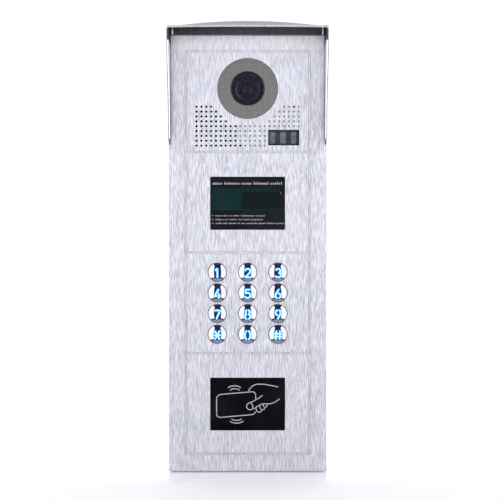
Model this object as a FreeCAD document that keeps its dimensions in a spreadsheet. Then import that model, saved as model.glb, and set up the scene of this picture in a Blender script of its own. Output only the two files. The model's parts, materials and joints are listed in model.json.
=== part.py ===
import FreeCAD, Part
import os, re, math
import Sketcher
from FreeCAD import Vector, Rotation

# Door intercom panel: a brushed aluminium front with a rain hood, camera,
# speaker, lamp window, display, twelve sprung keys and a card reader, on a
# sheet back box.  Millimetres, +Z up, the front faces -Y.  The origin is the
# centre of the four wall bolts on the back plane.

doc = FreeCAD.newDocument("DoorPanel")
sheet = doc.addObject("Spreadsheet::Sheet", "Dim")

DIMS = [
    # overall
    ("panel_width", 140.0), ("panel_height", 388.0), ("panel_thick", 3.0),
    ("front_depth", 45.0), ("edge_chamfer", 0.5),
    # back box and its fixings
    ("box_width", 137.2), ("box_height", 385.0), ("wall", 2.0), ("gasket_thick", 1.0),
    ("gasket_width", 5.0), ("bolt_pitch_x", 90.0), ("bolt_pitch_z", 330.0),
    ("bolt_hole_r", 2.6), ("entry_r", 11.0), ("entry_z", -112.0),
    ("lip_x", 120.0), ("bracket_x", 45.0),
    # engraved ladder
    ("groove_x", 55.0), ("groove_w", 1.7), ("groove_depth", 0.35),
    ("groove_top", 179.6), ("groove_pitch", 89.5),
    # hood
    ("hood_thick", 1.2), ("hood_reach", 42.0), ("hood_bottom", 96.5),
    ("hood_front_z", 196.9), ("hood_front_crown", 0.5), ("hood_rear_z", 208.6),
    ("hood_rear_crown", 4.6), ("hood_hem", 1.8),
    # camera
    ("cam_z", 146.6), ("ring_r", 27.0), ("ring_depth", 1.2), ("cam_window_r", 15.0),
    ("cam_bore_r", 19.0), ("barrel_r", 11.8), ("barrel_front", -38.5), ("pivot_y", -28.0),
    ("lens_r", 7.1),
    # speaker perforation and microphone
    ("hole_pitch", 4.335), ("row_pitch", 4.32), ("row_top", 130.3), ("hole_r", 1.05),
    ("dimple_depth", 0.6), ("spk_x", -29.0), ("spk_z", 113.0), ("spk_r", 18.0),
    # lamp window
    ("lamp_x", 32.05), ("lamp_z", 102.85), ("lamp_w", 27.7), ("lamp_h", 13.9),
    # display
    ("disp_z", 44.4), ("disp_w", 66.7), ("disp_h", 47.3), ("glass_thick", 2.0),
    ("lcd_x", -1.35), ("lcd_z", 47.7), ("lcd_w", 60.5), ("lcd_h", 19.4),
    # keys
    ("key_pitch_x", 27.0), ("key_pitch_z", 18.4), ("key_top", -17.0), ("key_r", 8.2),
    ("key_gap", 0.35), ("key_dome", 2.3), ("key_edge", 0.7), ("key_flange_r", 8.95),
    ("key_travel", 1.0), ("stem_r", 2.2), ("stem_gap", 0.1),
    # card reader
    ("card_z", -134.3), ("card_w", 66.7), ("card_h", 47.0), ("fit", 0.1),
    # boards
    ("board_thick", 1.6),
]
for i, (name, val) in enumerate(DIMS, 1):
    sheet.set("A%d" % i, name)
    sheet.set("B%d" % i, repr(val))
    sheet.setAlias("B%d" % i, name)
doc.recompute()
NAMES = {n for n, _ in DIMS}


def E(expr):
    """Sheet expression: bare aliases become Dim.alias."""
    return re.sub(r"[a-z][a-z_0-9]*", lambda k: "Dim." + k.group(0) if k.group(0) in NAMES else k.group(0), str(expr))


calc = doc.addObject("App::FeaturePython", "Calc")


def V(expr):
    return float(calc.evalExpression(E(expr)))


parts = []          # final objects, one per node
scratch = [0]


def own(obj, label):
    obj.Label = label
    parts.append(obj)
    return obj


def name_of(prefix):
    scratch[0] += 1
    return "%s_%d" % (prefix, scratch[0])


def bind(obj, prop, expr):
    obj.setExpression(prop, E(expr))


def place(obj, x, y, z, rot=None):
    obj.Placement = FreeCAD.Placement(Vector(V(x), V(y), V(z)), rot or Rotation())
    bind(obj, "Placement.Base.x", x)
    bind(obj, "Placement.Base.y", y)
    bind(obj, "Placement.Base.z", z)
    return obj


def box(x, y, z, w, d, tall):
    """Box from its lowest corner and sizes along X, Y and Z."""
    o = doc.addObject("Part::Box", name_of("Block"))
    bind(o, "Length", w)
    bind(o, "Width", d)
    bind(o, "Height", tall)
    return place(o, x, y, z)


def slab(cx, cz, w, tall, y, d):
    """Box centred on X and Z, from y backwards by d."""
    return box("%s-(%s)/2" % (cx, w), y, "%s-(%s)/2" % (cz, tall), w, d, tall)


AX = {"x": Rotation(Vector(0, 1, 0), 90), "y": Rotation(Vector(1, 0, 0), -90), "z": Rotation()}


def rod(axis, x, y, z, r, length):
    """Cylinder along +axis from its base centre."""
    o = doc.addObject("Part::Cylinder", name_of("Rod"))
    bind(o, "Radius", r)
    bind(o, "Height", length)
    return place(o, x, y, z, AX[axis])


def taper(axis, x, y, z, ra, rb, length):
    o = doc.addObject("Part::Cone", name_of("Taper"))
    bind(o, "Radius1", ra)
    bind(o, "Radius2", rb)
    bind(o, "Height", length)
    return place(o, x, y, z, AX[axis])


def fuse(*objs):
    if len(objs) == 1:
        return objs[0]
    o = doc.addObject("Part::MultiFuse", name_of("Fuse"))
    o.Shapes = list(objs)
    return o


def cut(base, *tools):
    o = doc.addObject("Part::Cut", name_of("Cut"))
    o.Base = base
    o.Tool = fuse(*tools)
    return o


def group(*objs):
    o = doc.addObject("Part::Compound", name_of("Group"))
    o.Links = list(objs)
    return o


# ---- PartDesign helpers -------------------------------------------------

def body(label):
    b = doc.addObject("PartDesign::Body", name_of("Body"))
    return own(b, label)


def plane(b, role):
    return [f for f in b.Origin.OriginFeatures if f.Role == role][0]


def sketch(b, role="XZ_Plane", offset="0"):
    """Sketch on an origin plane; on XZ it faces the front and offset moves it forward."""
    s = b.newObject("Sketcher::SketchObject", name_of("Sketch"))
    s.AttachmentSupport = [(plane(b, role), "")]
    s.MapMode = "FlatFace"
    s.AttachmentOffset = FreeCAD.Placement(Vector(0, 0, V(offset)), Rotation())
    s.setExpression("AttachmentOffset.Base.z", E(offset))
    return s


def dim(s, kind, args, expr):
    k = s.addConstraint(Sketcher.Constraint(kind, *args, V(expr)))
    s.setExpression("Constraints[%d]" % k, E(expr))


def poly(s, pts):
    """Closed polygon whose corners are tied to the sheet."""
    xy = [Vector(V(a), V(b), 0) for a, b in pts]
    n = len(xy)
    first = len(s.Geometry)
    for i in range(n):
        s.addGeometry(Part.LineSegment(xy[i], xy[(i + 1) % n]), False)
    for i in range(n):
        s.addConstraint(Sketcher.Constraint("Coincident", first + i, 2, first + (i + 1) % n, 1))
    for i, (a, b) in enumerate(pts):
        dim(s, "DistanceX", (-1, 1, first + i, 1), a)
        dim(s, "DistanceY", (-1, 1, first + i, 1), b)


def rect(s, cx, cz, w, tall):
    poly(s, [("(%s)-(%s)/2" % (cx, w), "(%s)-(%s)/2" % (cz, tall)),
             ("(%s)+(%s)/2" % (cx, w), "(%s)-(%s)/2" % (cz, tall)),
             ("(%s)+(%s)/2" % (cx, w), "(%s)+(%s)/2" % (cz, tall)),
             ("(%s)-(%s)/2" % (cx, w), "(%s)+(%s)/2" % (cz, tall))])


def circle(s, cx, cz, r):
    g = s.addGeometry(Part.Circle(Vector(V(cx), V(cz), 0), Vector(0, 0, 1), V(r)), False)
    dim(s, "Radius", (g,), r)
    dim(s, "DistanceX", (-1, 1, g, 3), cx)
    dim(s, "DistanceY", (-1, 1, g, 3), cz)


def pad(b, s, length, reversed_=False):
    f = b.newObject("PartDesign::Pad", name_of("Pad"))
    f.Profile = s
    f.Length = V(length)
    bind(f, "Length", length)
    f.Reversed = reversed_
    return f


def pocket(b, s, depth=None, reversed_=False):
    f = b.newObject("PartDesign::Pocket", name_of("Pocket"))
    f.Profile = s
    if depth is None:
        f.Type = "ThroughAll"
    else:
        f.Length = V(depth)
        bind(f, "Length", depth)
    f.Reversed = reversed_
    return f


def revolve(b, s, axis="V_Axis"):
    f = b.newObject("PartDesign::Revolution", name_of("Revolution"))
    f.Profile = s
    f.ReferenceAxis = (s, [axis])
    f.Angle = 360.0
    return f


def shrunk(b, what, before):
    """A pocket must have taken something away."""
    doc.recompute()
    after = b.Shape.Volume
    if not after < before - 1e-3:
        raise RuntimeError("%s removed nothing" % what)
    return after


PF = "(0-front_depth)"                       # front face of the panel
PB = "(panel_thick-front_depth)"             # its back face
RIM = "(panel_thick+gasket_thick-front_depth)"   # front rim of the back box

# ---- front panel --------------------------------------------------------
fp = body("front_panel")
s = sketch(fp, offset="front_depth-panel_thick")
hw, nw, hh = "panel_width/2", "(box_width/2)", "panel_height/2"
poly(s, [("0-" + hw, "0-" + hh), (hw, "0-" + hh), (hw, "hood_bottom"), (nw, "hood_bottom"),
         (nw, hh), ("0-" + nw, hh), ("0-" + nw, "hood_bottom"), ("0-" + hw, "hood_bottom")])
p = pad(fp, s, "panel_thick")
doc.recompute()
names = []
for i, e in enumerate(p.Shape.Edges, 1):
    bb = e.BoundBox
    if abs(bb.YMin - V(PF)) < 1e-6 and abs(bb.YMax - V(PF)) < 1e-6 and (bb.XLength > 100 or bb.ZLength > 60):
        names.append("Edge%d" % i)
ch = fp.newObject("PartDesign::Chamfer", "PanelChamfer")
ch.Base = (p, names)
ch.Size = V("edge_chamfer")
bind(ch, "Size", "edge_chamfer")
doc.recompute()
vol = fp.Shape.Volume

# through openings: camera, display, card, lamps, keys
s = sketch(fp, offset="front_depth")
circle(s, "0", "cam_z", "cam_bore_r")
rect(s, "0", "disp_z", "disp_w-4", "disp_h-4")
rect(s, "0", "card_z", "card_w-4", "card_h-4")
rect(s, "lamp_x", "lamp_z", "lamp_w-2.4", "lamp_h-2.4")
KEYS = [("1", 0, 0), ("2", 1, 0), ("3", 2, 0), ("4", 0, 1), ("5", 1, 1), ("6", 2, 1),
        ("7", 0, 2), ("8", 1, 2), ("9", 2, 2), ("star", 0, 3), ("0", 1, 3), ("hash", 2, 3)]
KPOS = [(k, "%d*key_pitch_x" % (c - 1), "(key_top-%d*key_pitch_z)" % r) for k, c, r in KEYS]
for k, kx, kz in KPOS:
    circle(s, kx, kz, "key_r+key_gap")
pocket(fp, s)
vol = shrunk(fp, "openings", vol)

# seats from the front: camera ring, display and card windows, lamp window
s = sketch(fp, offset="front_depth")
circle(s, "0", "cam_z", "ring_r+fit")
pocket(fp, s, "ring_depth")
vol = shrunk(fp, "ring seat", vol)
s = sketch(fp, offset="front_depth")
rect(s, "0", "disp_z", "disp_w", "disp_h")
rect(s, "0", "card_z", "card_w", "card_h")
pocket(fp, s, "glass_thick")
vol = shrunk(fp, "window seats", vol)
s = sketch(fp, offset="front_depth")
rect(s, "lamp_x", "lamp_z", "lamp_w", "lamp_h")
pocket(fp, s, "1.6")
vol = shrunk(fp, "lamp seat", vol)

# perforation: 22 columns by 9 rows, open over the speaker, blind elsewhere
open_, blind = [], []
for row in range(9):
    if row < 4:
        cols = list(range(0, 4 + row)) + list(range(18 - row, 22))
    elif row == 4:
        cols = list(range(22))
    else:
        cols = list(range(15))
    limit = 7 if row < 4 else (9 if row < 8 else 10)
    for c in cols:
        at = (c - 10.5, row)
        (open_ if c < limit or (row == 0 and c == 20) else blind).append(at)
lx, lz, lw, lh = V("lamp_x"), V("lamp_z"), V("lamp_w"), V("lamp_h")
for at_list, depth in ((open_, None), (blind, "dimple_depth")):
    s = sketch(fp, offset="front_depth")
    for c, row in at_list:
        x = c * V("hole_pitch")
        z = V("row_top") - row * V("row_pitch")
        if row > 4 and abs(x - lx) < lw / 2 + 1.5 and abs(z - lz) < lh / 2 + 1.5:
            continue
        s.addGeometry(Part.Circle(Vector(x, z, 0), Vector(0, 0, 1), V("hole_r")), False)
    pocket(fp, s, depth)
    vol = shrunk(fp, "perforation", vol)

# engraved ladder: a frame with three rungs
s = sketch(fp, offset="front_depth")
gt, gb = "groove_top", "(groove_top-4*groove_pitch)"
rect(s, "0", "(%s+%s)/2" % (gt, gb), "2*groove_x+groove_w", "4*groove_pitch+groove_w")
for i in range(4):
    rect(s, "0", "(groove_top-%d*groove_pitch-groove_pitch/2)" % i, "2*groove_x-groove_w", "groove_pitch-groove_w")
pocket(fp, s, "groove_depth")
vol = shrunk(fp, "grooves", vol)

# ---- back box -----------------------------------------------------------
bb_ = body("back_box")
s = sketch(bb_, offset="0")
rect(s, "0", "0", "box_width", "box_height")
pad(bb_, s, "front_depth-panel_thick-gasket_thick")
doc.recompute()
vol = bb_.Shape.Volume
s = sketch(bb_, offset="front_depth-panel_thick-gasket_thick")
rect(s, "0", "0", "box_width-2*wall", "box_height-2*wall")
pocket(bb_, s, "front_depth-panel_thick-gasket_thick-wall")
vol = shrunk(bb_, "box inside", vol)
# inner lip under the top wall that the front's hooks catch
s = sketch(bb_, offset="front_depth-panel_thick-gasket_thick-2")
rect(s, "0", "box_height/2-wall-2.5", "lip_x", "5.2")
pad(bb_, s, "1.5")
doc.recompute()
vol = bb_.Shape.Volume
s = sketch(bb_, offset="0")
for sx in (-1, 1):
    for sz in (-1, 1):
        circle(s, "%d*bolt_pitch_x/2" % sx, "%d*bolt_pitch_z/2" % sz, "bolt_hole_r")
circle(s, "0", "entry_z", "entry_r")
pocket(bb_, s, "wall", True)
vol = shrunk(bb_, "bolt holes", vol)
# screw holes in the bottom wall
s = sketch(bb_, "XY_Plane", "0-box_height/2")
for sx in (-1, 1):
    circle(s, "%d*bracket_x" % sx, "0-25", "2.2")
pocket(bb_, s, "wall", True)
vol = shrunk(bb_, "bottom screw holes", vol)
# hood screw holes in the side walls
s = sketch(bb_, "YZ_Plane", "0-box_width/2")
for z in ("118", "178"):
    circle(s, "0-20", z, "1.7")
pocket(bb_, s, None, True)
vol = shrunk(bb_, "hood screw holes", vol)

# ---- gasket, cable grommet ----------------------------------------------
own(cut(slab("0", "0", "box_width-0.4", "box_height-0.4", PB, "gasket_thick"),
        slab("0", "0", "box_width-0.4-2*gasket_width", "box_height-0.4-2*gasket_width", PB + "-1", "gasket_thick+2")),
    "panel_gasket")
own(cut(fuse(rod("y", "0", "0-wall-2.5", "entry_z", "entry_r+3", "2.5"),
             rod("y", "0", "0-wall-0.5", "entry_z", "entry_r-0.05", "wall+0.5")),
        rod("y", "0", "0-10", "entry_z", "7.5", "20")), "cable_grommet")

# ---- rain hood ----------------------------------------------------------
hd = body("rain_hood")
fr = "(front_depth+hood_reach)"


def crown(s, half, z, rise, thick, side, drop=2.0):
    """Closed section of the roof: crowned sheet, rounded upper corners, and the top of each wing."""
    q = thick * (1 - math.sqrt(0.5))
    inner = half - side
    lt, rt = Vector(-half + thick, z, 0), Vector(half - thick, z, 0)
    ll, rl = Vector(-half, z - thick, 0), Vector(half, z - thick, 0)
    rd, ri = Vector(half, z - thick - drop, 0), Vector(inner, z - thick - drop, 0)
    ld, li = Vector(-half, z - thick - drop, 0), Vector(-inner, z - thick - drop, 0)
    ru, lu = Vector(inner, z - thick, 0), Vector(-inner, z - thick, 0)
    s.addGeometry(Part.Arc(lt, Vector(0, z + rise, 0), rt), False)
    s.addGeometry(Part.Arc(rt, Vector(half - q, z - q, 0), rl), False)
    s.addGeometry(Part.LineSegment(rl, rd), False)
    s.addGeometry(Part.LineSegment(rd, ri), False)
    s.addGeometry(Part.LineSegment(ri, ru), False)
    s.addGeometry(Part.Arc(ru, Vector(0, z - thick + rise, 0), lu), False)
    s.addGeometry(Part.LineSegment(lu, li), False)
    s.addGeometry(Part.LineSegment(li, ld), False)
    s.addGeometry(Part.LineSegment(ld, ll), False)
    s.addGeometry(Part.Arc(ll, Vector(-half + q, z - q, 0), lt), False)


s1 = sketch(hd, offset=fr)
crown(s1, V("panel_width/2"), V("hood_front_z"), V("hood_front_crown"), V("hood_thick"), V("panel_width/2-box_width/2"))
s2 = sketch(hd, offset="0")
crown(s2, V("panel_width/2"), V("hood_rear_z"), V("hood_rear_crown"), V("hood_thick"), V("panel_width/2-box_width/2"))
lo = hd.newObject("PartDesign::AdditiveLoft", "RoofLoft")
lo.Profile = s1
lo.Sections = [s2]
lo.Ruled = True
doc.recompute()


def wing_profile(s):
    """Side wing: straight back, roof slope, and a swept front edge."""
    f0, fd, hz = V("hood_reach"), V("front_depth"), V("hood_front_z-hood_thick-1")
    a = Vector(-(fd + f0), hz, 0)
    curve = [a, Vector(-(fd + f0) + 0.3, hz - 12, 0), Vector(-(fd + 40.2), 172, 0), Vector(-(fd + 33.5), 158, 0),
             Vector(-(fd + 25.0), 145, 0), Vector(-(fd + 18.0), 131, 0), Vector(-(fd + 14.8), 118, 0),
             Vector(-(fd + 13.6), 106.5, 0)]
    bs = Part.BSplineCurve()
    bs.interpolate(curve)
    s.addGeometry(bs, False)
    b = curve[-1]
    c = Vector(-(fd + 10.6), 100.6, 0)
    s.addGeometry(Part.Arc(b, Vector(-(fd + 12.9), 103.0, 0), c), False)
    d = Vector(-(fd - 1), V("hood_bottom"), 0)
    s.addGeometry(Part.LineSegment(c, d), False)
    e = Vector(0, V("hood_bottom"), 0)
    s.addGeometry(Part.LineSegment(d, e), False)
    g = Vector(0, V("hood_rear_z-hood_thick-1"), 0)
    s.addGeometry(Part.LineSegment(e, g), False)
    s.addGeometry(Part.LineSegment(g, a), False)


s = sketch(hd, "YZ_Plane", "box_width/2")
wing_profile(s)
pad(hd, s, "panel_width/2-box_width/2")
s = sketch(hd, "YZ_Plane", "0-panel_width/2")
wing_profile(s)
pad(hd, s, "panel_width/2-box_width/2")
# hem turned down at the front edge
s = sketch(hd, offset=fr + "-hood_thick")
half = V("panel_width/2") - 1.0
z, rise, hem = V("hood_front_z"), V("hood_front_crown"), V("hood_hem")
s.addGeometry(Part.Arc(Vector(-half, z - 0.6, 0), Vector(0, z - 0.6 + rise, 0), Vector(half, z - 0.6, 0)), False)
s.addGeometry(Part.LineSegment(Vector(half, z - 0.6, 0), Vector(half, z - hem, 0)), False)
s.addGeometry(Part.Arc(Vector(half, z - hem, 0), Vector(0, z - hem + rise, 0), Vector(-half, z - hem, 0)), False)
s.addGeometry(Part.LineSegment(Vector(-half, z - hem, 0), Vector(-half, z - 0.6, 0)), False)
pad(hd, s, "hood_thick")
# rear flange against the wall, and corner tabs lapped inside the wings
s = sketch(hd, offset="0")
zr = V("box_height/2")
hb = V("box_width/2") + 0.6
s.addGeometry(Part.Arc(Vector(-hb, V("hood_rear_z-0.6"), 0), Vector(0, V("hood_rear_z-0.6+hood_rear_crown"), 0), Vector(hb, V("hood_rear_z-0.6"), 0)), False)
s.addGeometry(Part.LineSegment(Vector(hb, V("hood_rear_z-0.6"), 0), Vector(hb, zr, 0)), False)
s.addGeometry(Part.LineSegment(Vector(hb, zr, 0), Vector(-hb, zr, 0)), False)
s.addGeometry(Part.LineSegment(Vector(-hb, zr, 0), Vector(-hb, V("hood_rear_z-0.6"), 0)), False)
pad(hd, s, "hood_thick")
doc.recompute()
vol = hd.Shape.Volume
s = sketch(hd, "YZ_Plane", "0-panel_width/2")
for z in ("118", "178"):
    circle(s, "0-20", z, "1.7")
pocket(hd, s, None, True)
vol = shrunk(hd, "hood screw holes", vol)
scr = []
for sx in (-1, 1):
    for z in ("118", "178"):
        # thin pan head outside the wing, shank into the box wall
        head = rod("x", "%d*(panel_width/2)%s" % (sx, "-1.1" if sx < 0 else ""), "0-20", z, "3.2", "1.1")
        shank = rod("x", "%d*(panel_width/2)%s" % (sx, "" if sx < 0 else "-8"), "0-20", z, "1.5", "8")
        scr.append(fuse(head, shank))
# ---- hooks at the top, locks and screws at the bottom -------------------
hooks = []
for sx in (-1, 1):
    cx = "%d*bracket_x" % sx
    hooks.append(fuse(
        slab(cx, "176", "22", "16", PB, "1.6"),
        slab(cx, "183.2", "22", "1.6", PB, "9"),
        slab(cx, "185.4", "22", "6", PB + "+7.4", "1.6")))
locks = []
for sx in (-1, 1):
    cx = "%d*bracket_x" % sx
    locks.append(cut(fuse(
        box(cx + "-11", PB, "5.3-box_height/2", "22", "3", "17"),
        box(cx + "-11", PB + "+1.05", "0-box_height/2+wall+0.1", "22", "23", "3.7")),
        rod("z", cx, "0-25", "0-box_height/2", "1.9", "12")))
own(group(*(hooks + locks)), "panel_brackets")
cs = []
for sx in (-1, 1):
    cx = "%d*bracket_x" % sx
    cs.append(fuse(rod("z", cx, "0-25", "0-box_height/2-1.4", "3.6", "1.4"),
                   rod("z", cx, "0-25", "0-box_height/2-0.2", "1.9", "11")))
own(group(*(scr + cs)), "case_screws")

# ---- camera -------------------------------------------------------------
own(cut(rod("y", "0", PF, "cam_z", "ring_r", "ring_depth-0.05"),
        rod("y", "0", PF + "-1", "cam_z", "cam_window_r+fit", "6")), "camera_ring")
cw = body("camera_window")
s = sketch(cw, "XY_Plane", "0")
poly(s, [("0", PF + "-0.25"), ("cam_window_r-1.0", PF + "-0.05"), ("cam_window_r", PF + "+0.45"), ("cam_window_r", PF + "+ring_depth"),
         ("cam_bore_r-0.3", PF + "+ring_depth"), ("cam_bore_r-0.3", PF + "+2.4"), ("0", PF + "+2.4")])
revolve(cw, s)
cw.Placement = FreeCAD.Placement(Vector(0, 0, V("cam_z")), Rotation())
cw.setExpression("Placement.Base.z", E("cam_z"))

cam = cut(fuse(slab("0", "cam_z", "0.1", "0.1", PB, "0.1"),
               rod("y", "0", PB, "cam_z", "22.5", "1.6"),
               box("0-17", PB + "+0.2", "cam_z-6", "2", "22", "12"),
               box("15", PB + "+0.2", "cam_z-6", "2", "22", "12")),
          rod("y", "0", PB + "-1", "cam_z", "14.9", "6"),
          rod("x", "0-20", "pivot_y", "cam_z", "1.5", "40"))
own(cam, "camera_bracket")
own(group(fuse(rod("x", "0-18.6", "pivot_y", "cam_z", "2.8", "1.6"), rod("x", "0-17", "pivot_y", "cam_z", "1.5", "7.2")),
          fuse(rod("x", "17", "pivot_y", "cam_z", "2.8", "1.6"), rod("x", "9.8", "pivot_y", "cam_z", "1.5", "7.2"))),
    "camera_pivots")
own(cut(fuse(rod("y", "0", "barrel_front", "cam_z", "barrel_r", "19"),
             rod("x", "0-14.5", "pivot_y", "cam_z", "4", "29")),
        taper("y", "0", "barrel_front-0.01", "cam_z", "10.6", "7.4", "3.6"),
        rod("y", "0", "barrel_front", "cam_z", "lens_r+0.05", "7"),
        rod("y", "0", "barrel_front+8", "cam_z", "3.5", "12"),
        rod("x", "0-15", "pivot_y", "cam_z", "1.56", "5.5"),
        rod("x", "9.5", "pivot_y", "cam_z", "1.56", "5.5")), "camera_barrel")
le = body("camera_lens")
s = sketch(le, "XY_Plane", "0")
f0 = V("barrel_front") + 2.4
lr = V("lens_r")
s.addGeometry(Part.Arc(Vector(0, f0, 0), Vector(lr * 0.55, f0 + 0.8, 0), Vector(lr, f0 + 2.9, 0)), False)
s.addGeometry(Part.LineSegment(Vector(lr, f0 + 2.9, 0), Vector(lr, f0 + 4.4, 0)), False)
s.addGeometry(Part.LineSegment(Vector(lr, f0 + 4.4, 0), Vector(0, f0 + 4.4, 0)), False)
s.addGeometry(Part.LineSegment(Vector(0, f0 + 4.4, 0), Vector(0, f0, 0)), False)
revolve(le, s)
le.Placement = FreeCAD.Placement(Vector(0, 0, V("cam_z")), Rotation())
le.setExpression("Placement.Base.z", E("cam_z"))
own(fuse(slab("0", "cam_z", "26", "26", "barrel_front+19", "board_thick"),
         slab("0", "cam_z-7", "10", "5", "barrel_front+19+board_thick", "3.2")), "camera_board")

# ---- speaker and microphone ---------------------------------------------
SY = "(%s+0.4)" % PB
own(cut(fuse(rod("y", "spk_x", SY, "spk_z", "spk_r", "1.6"),
             taper("y", "spk_x", SY + "+1.6", "spk_z", "spk_r-2", "11", "8"),
             rod("y", "spk_x", SY + "+9.6", "spk_z", "11", "6")),
        taper("y", "spk_x", SY + "-0.01", "spk_z", "spk_r-2.4", "7", "8.5")), "speaker_driver")
own(cut(taper("y", "spk_x", SY + "+0.2", "spk_z", "spk_r-2.7", "7.2", "7.6"),
        taper("y", "spk_x", SY + "+0.1", "spk_z", "spk_r-3.2", "6.6", "7.3")), "speaker_cone")
cl = []
for a in (-11, 109, 229):
    ca, sa = math.cos(math.radians(a)), math.sin(math.radians(a))
    post = "spk_x+%.5f*(spk_r+3)" % ca, "spk_z+%.5f*(spk_r+3)" % sa
    tip = "spk_x+%.5f*(spk_r+1.6)" % ca, "spk_z+%.5f*(spk_r+1.6)" % sa
    cl.append(fuse(rod("y", post[0], PB, post[1], "2.2", "3.6"), rod("y", tip[0], SY + "+1.65", tip[1], "3", "1.5")))
own(group(*cl), "speaker_clamps")
# the gauze covers every open hole and goes round the clamp posts
posts = []
for a in (-11, 109, 229):
    ca, sa = math.cos(math.radians(a)), math.sin(math.radians(a))
    posts.append(rod("y", "spk_x+%.5f*(spk_r+3)" % ca, PB + "-0.1", "spk_z+%.5f*(spk_r+3)" % sa, "2.3", "0.7"))
own(cut(fuse(slab("spk_x-5.25", "spk_z-0.25", "25.5", "42.5", PB, "0.35"),
             slab("spk_x+11.75", "spk_z-5.15", "8.8", "32.7", PB, "0.35"),
             slab("spk_x+20.4", "spk_z-9.65", "8.8", "23.7", PB, "0.35"),
             slab("spk_x+27", "spk_z-18", "4.8", "7", PB, "0.35")), *posts), "speaker_gauze")
MX, MZ = "(9.5*hole_pitch)", "row_top"
own(cut(rod("y", MX, PB, MZ, "6.2", "8"), rod("y", MX, PB + "+1", MZ, "4.9", "9"), rod("y", MX, PB + "-1", MZ, "1.5", "4")), "mic_boot")
own(rod("y", MX, PB + "+1.05", MZ, "4.85", "5.5"), "microphone")

# ---- lamp window --------------------------------------------------------
own(slab("lamp_x", "lamp_z", "lamp_w-2*fit", "lamp_h-2*fit", PF + "+0.1", "1.45"), "lamp_window")
leds = []
for dx in (-9.5, 0, 9.5):
    for dz in (-3.2, 3.2):
        x, z = "lamp_x+%s" % dx, "lamp_z+%s" % dz
        if dx < 0:
            x = "lamp_x-9.5"
        if dz < 0:
            z = "lamp_z-3.2"
        leds.append(fuse(rod("y", x, PB + "+0.7", z, "2.4", "5.2"), taper("y", x, PB + "-0.6", z, "1.5", "2.4", "1.31")))
own(group(*leds), "lamp_leds")
own(slab("lamp_x", "lamp_z", "34", "20", PB + "+6", "board_thick"), "lamp_board")

# ---- display ------------------------------------------------------------
own(slab("0", "disp_z", "disp_w-2*fit", "disp_h-2*fit", PF + "-0.25", "glass_thick+0.2"), "display_window")
LY = "(%s+0.3)" % PB
own(cut(slab("lcd_x", "lcd_z", "lcd_w+14", "lcd_h+17", LY, "4.2"),
        slab("lcd_x", "lcd_z", "lcd_w", "lcd_h", LY + "-1", "6"),
        slab("lcd_x", "lcd_z", "lcd_w+9", "lcd_h+10", LY + "+0.8", "6")), "lcd_bezel")
own(slab("lcd_x", "lcd_z", "lcd_w+8.6", "lcd_h+9.6", LY + "+0.9", "2.8"), "lcd_glass")
own(fuse(slab("lcd_x", "lcd_z", "lcd_w+18", "lcd_h+21", LY + "+4.2", "board_thick"),
         slab("lcd_x", "lcd_z-13", "40", "4", LY + "+4.2+board_thick", "2.6")), "lcd_board")

# ---- card reader --------------------------------------------------------
own(slab("0", "card_z", "card_w-2*fit", "card_h-2*fit", PF + "-0.25", "glass_thick+0.2"), "card_window")
own(fuse(cut(slab("0", "card_z", "76", "56", PB + "+0.7", "1.3"), slab("0", "card_z", "48", "28", PB, "4")),
         slab("0", "card_z", "80", "60", PB + "+1.9", "board_thick"),
         slab("12", "card_z+8", "12", "12", PB + "+1.9+board_thick", "1.4"),
         slab("0-18", "card_z-6", "8", "14", PB + "+1.9+board_thick", "4")), "reader_board")

# ---- keys ---------------------------------------------------------------
FY = "(%s+0.3)" % PB                 # front of the flange, 0.3 behind the panel
KC = "(key_top-1.5*key_pitch_z)"
for k, kx, kz in KPOS:
    cap = body("key_%s_cap" % k)
    s = sketch(cap, "XY_Plane", "0")
    r, dome, edge = V("key_r"), V("key_dome"), V("key_edge")
    yf, fy = V(PF), V(FY)
    pts = [Vector(0, yf - edge - dome, 0), Vector(r - 0.35, yf - edge, 0), Vector(r, yf - edge + 0.5, 0),
           Vector(r, fy, 0), Vector(V("key_flange_r"), fy, 0), Vector(V("key_flange_r"), fy + 1.0, 0),
           Vector(r - 1.0, fy + 1.0, 0), Vector(r - 1.0, yf + 0.4, 0), Vector(0, yf - edge - 0.9, 0)]
    # dome outside, inside face flatter
    rr = ((r - 0.35) ** 2 + dome ** 2) / (2 * dome)
    mid = Vector((r - 0.35) * 0.55, yf - edge - dome + rr - math.sqrt(rr * rr - ((r - 0.35) * 0.55) ** 2), 0)
    s.addGeometry(Part.Arc(pts[0], mid, pts[1]), False)
    s.addGeometry(Part.Arc(pts[1], Vector(r - 0.09, yf - edge + 0.17, 0), pts[2]), False)
    for i in range(2, len(pts)):
        s.addGeometry(Part.LineSegment(pts[i], pts[(i + 1) % len(pts)]), False)
    revolve(cap, s)
    cap.Placement = FreeCAD.Placement(Vector(V(kx), 0, V(kz)), Rotation())
    cap.setExpression("Placement.Base.x", E(kx))
    cap.setExpression("Placement.Base.z", E(kz))
    own(fuse(rod("y", kx, PF + "+0.5", kz, "key_r-1.05", "4.2"),
             rod("y", kx, PF + "+4", kz, "stem_r", "7.3")), "key_%s_core" % k)
doc.recompute()

# switch housings that the stems slide in, on the keypad board
KB = "(%s+10)" % PB
own(group(*[cut(slab(kx, kz, "13", "13", PF + "+7", "6"),
                rod("y", kx, PF + "+6", kz, "stem_r+stem_gap", "6.6")) for k, kx, kz in KPOS]), "key_switches")
own(slab("0", KC, "96", "86", KB, "board_thick"), "keypad_board")
keypad_posts = [rod("y", "%d*45" % sx, PB, KC + sz, "2.6", "10") for sx in (-1, 1) for sz in ("+39", "-39")]
keypad_screws = [rod("y", "%d*45" % sx, KB + "+board_thick", KC + sz, "2.7", "1.8") for sx in (-1, 1) for sz in ("+39", "-39")]

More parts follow.
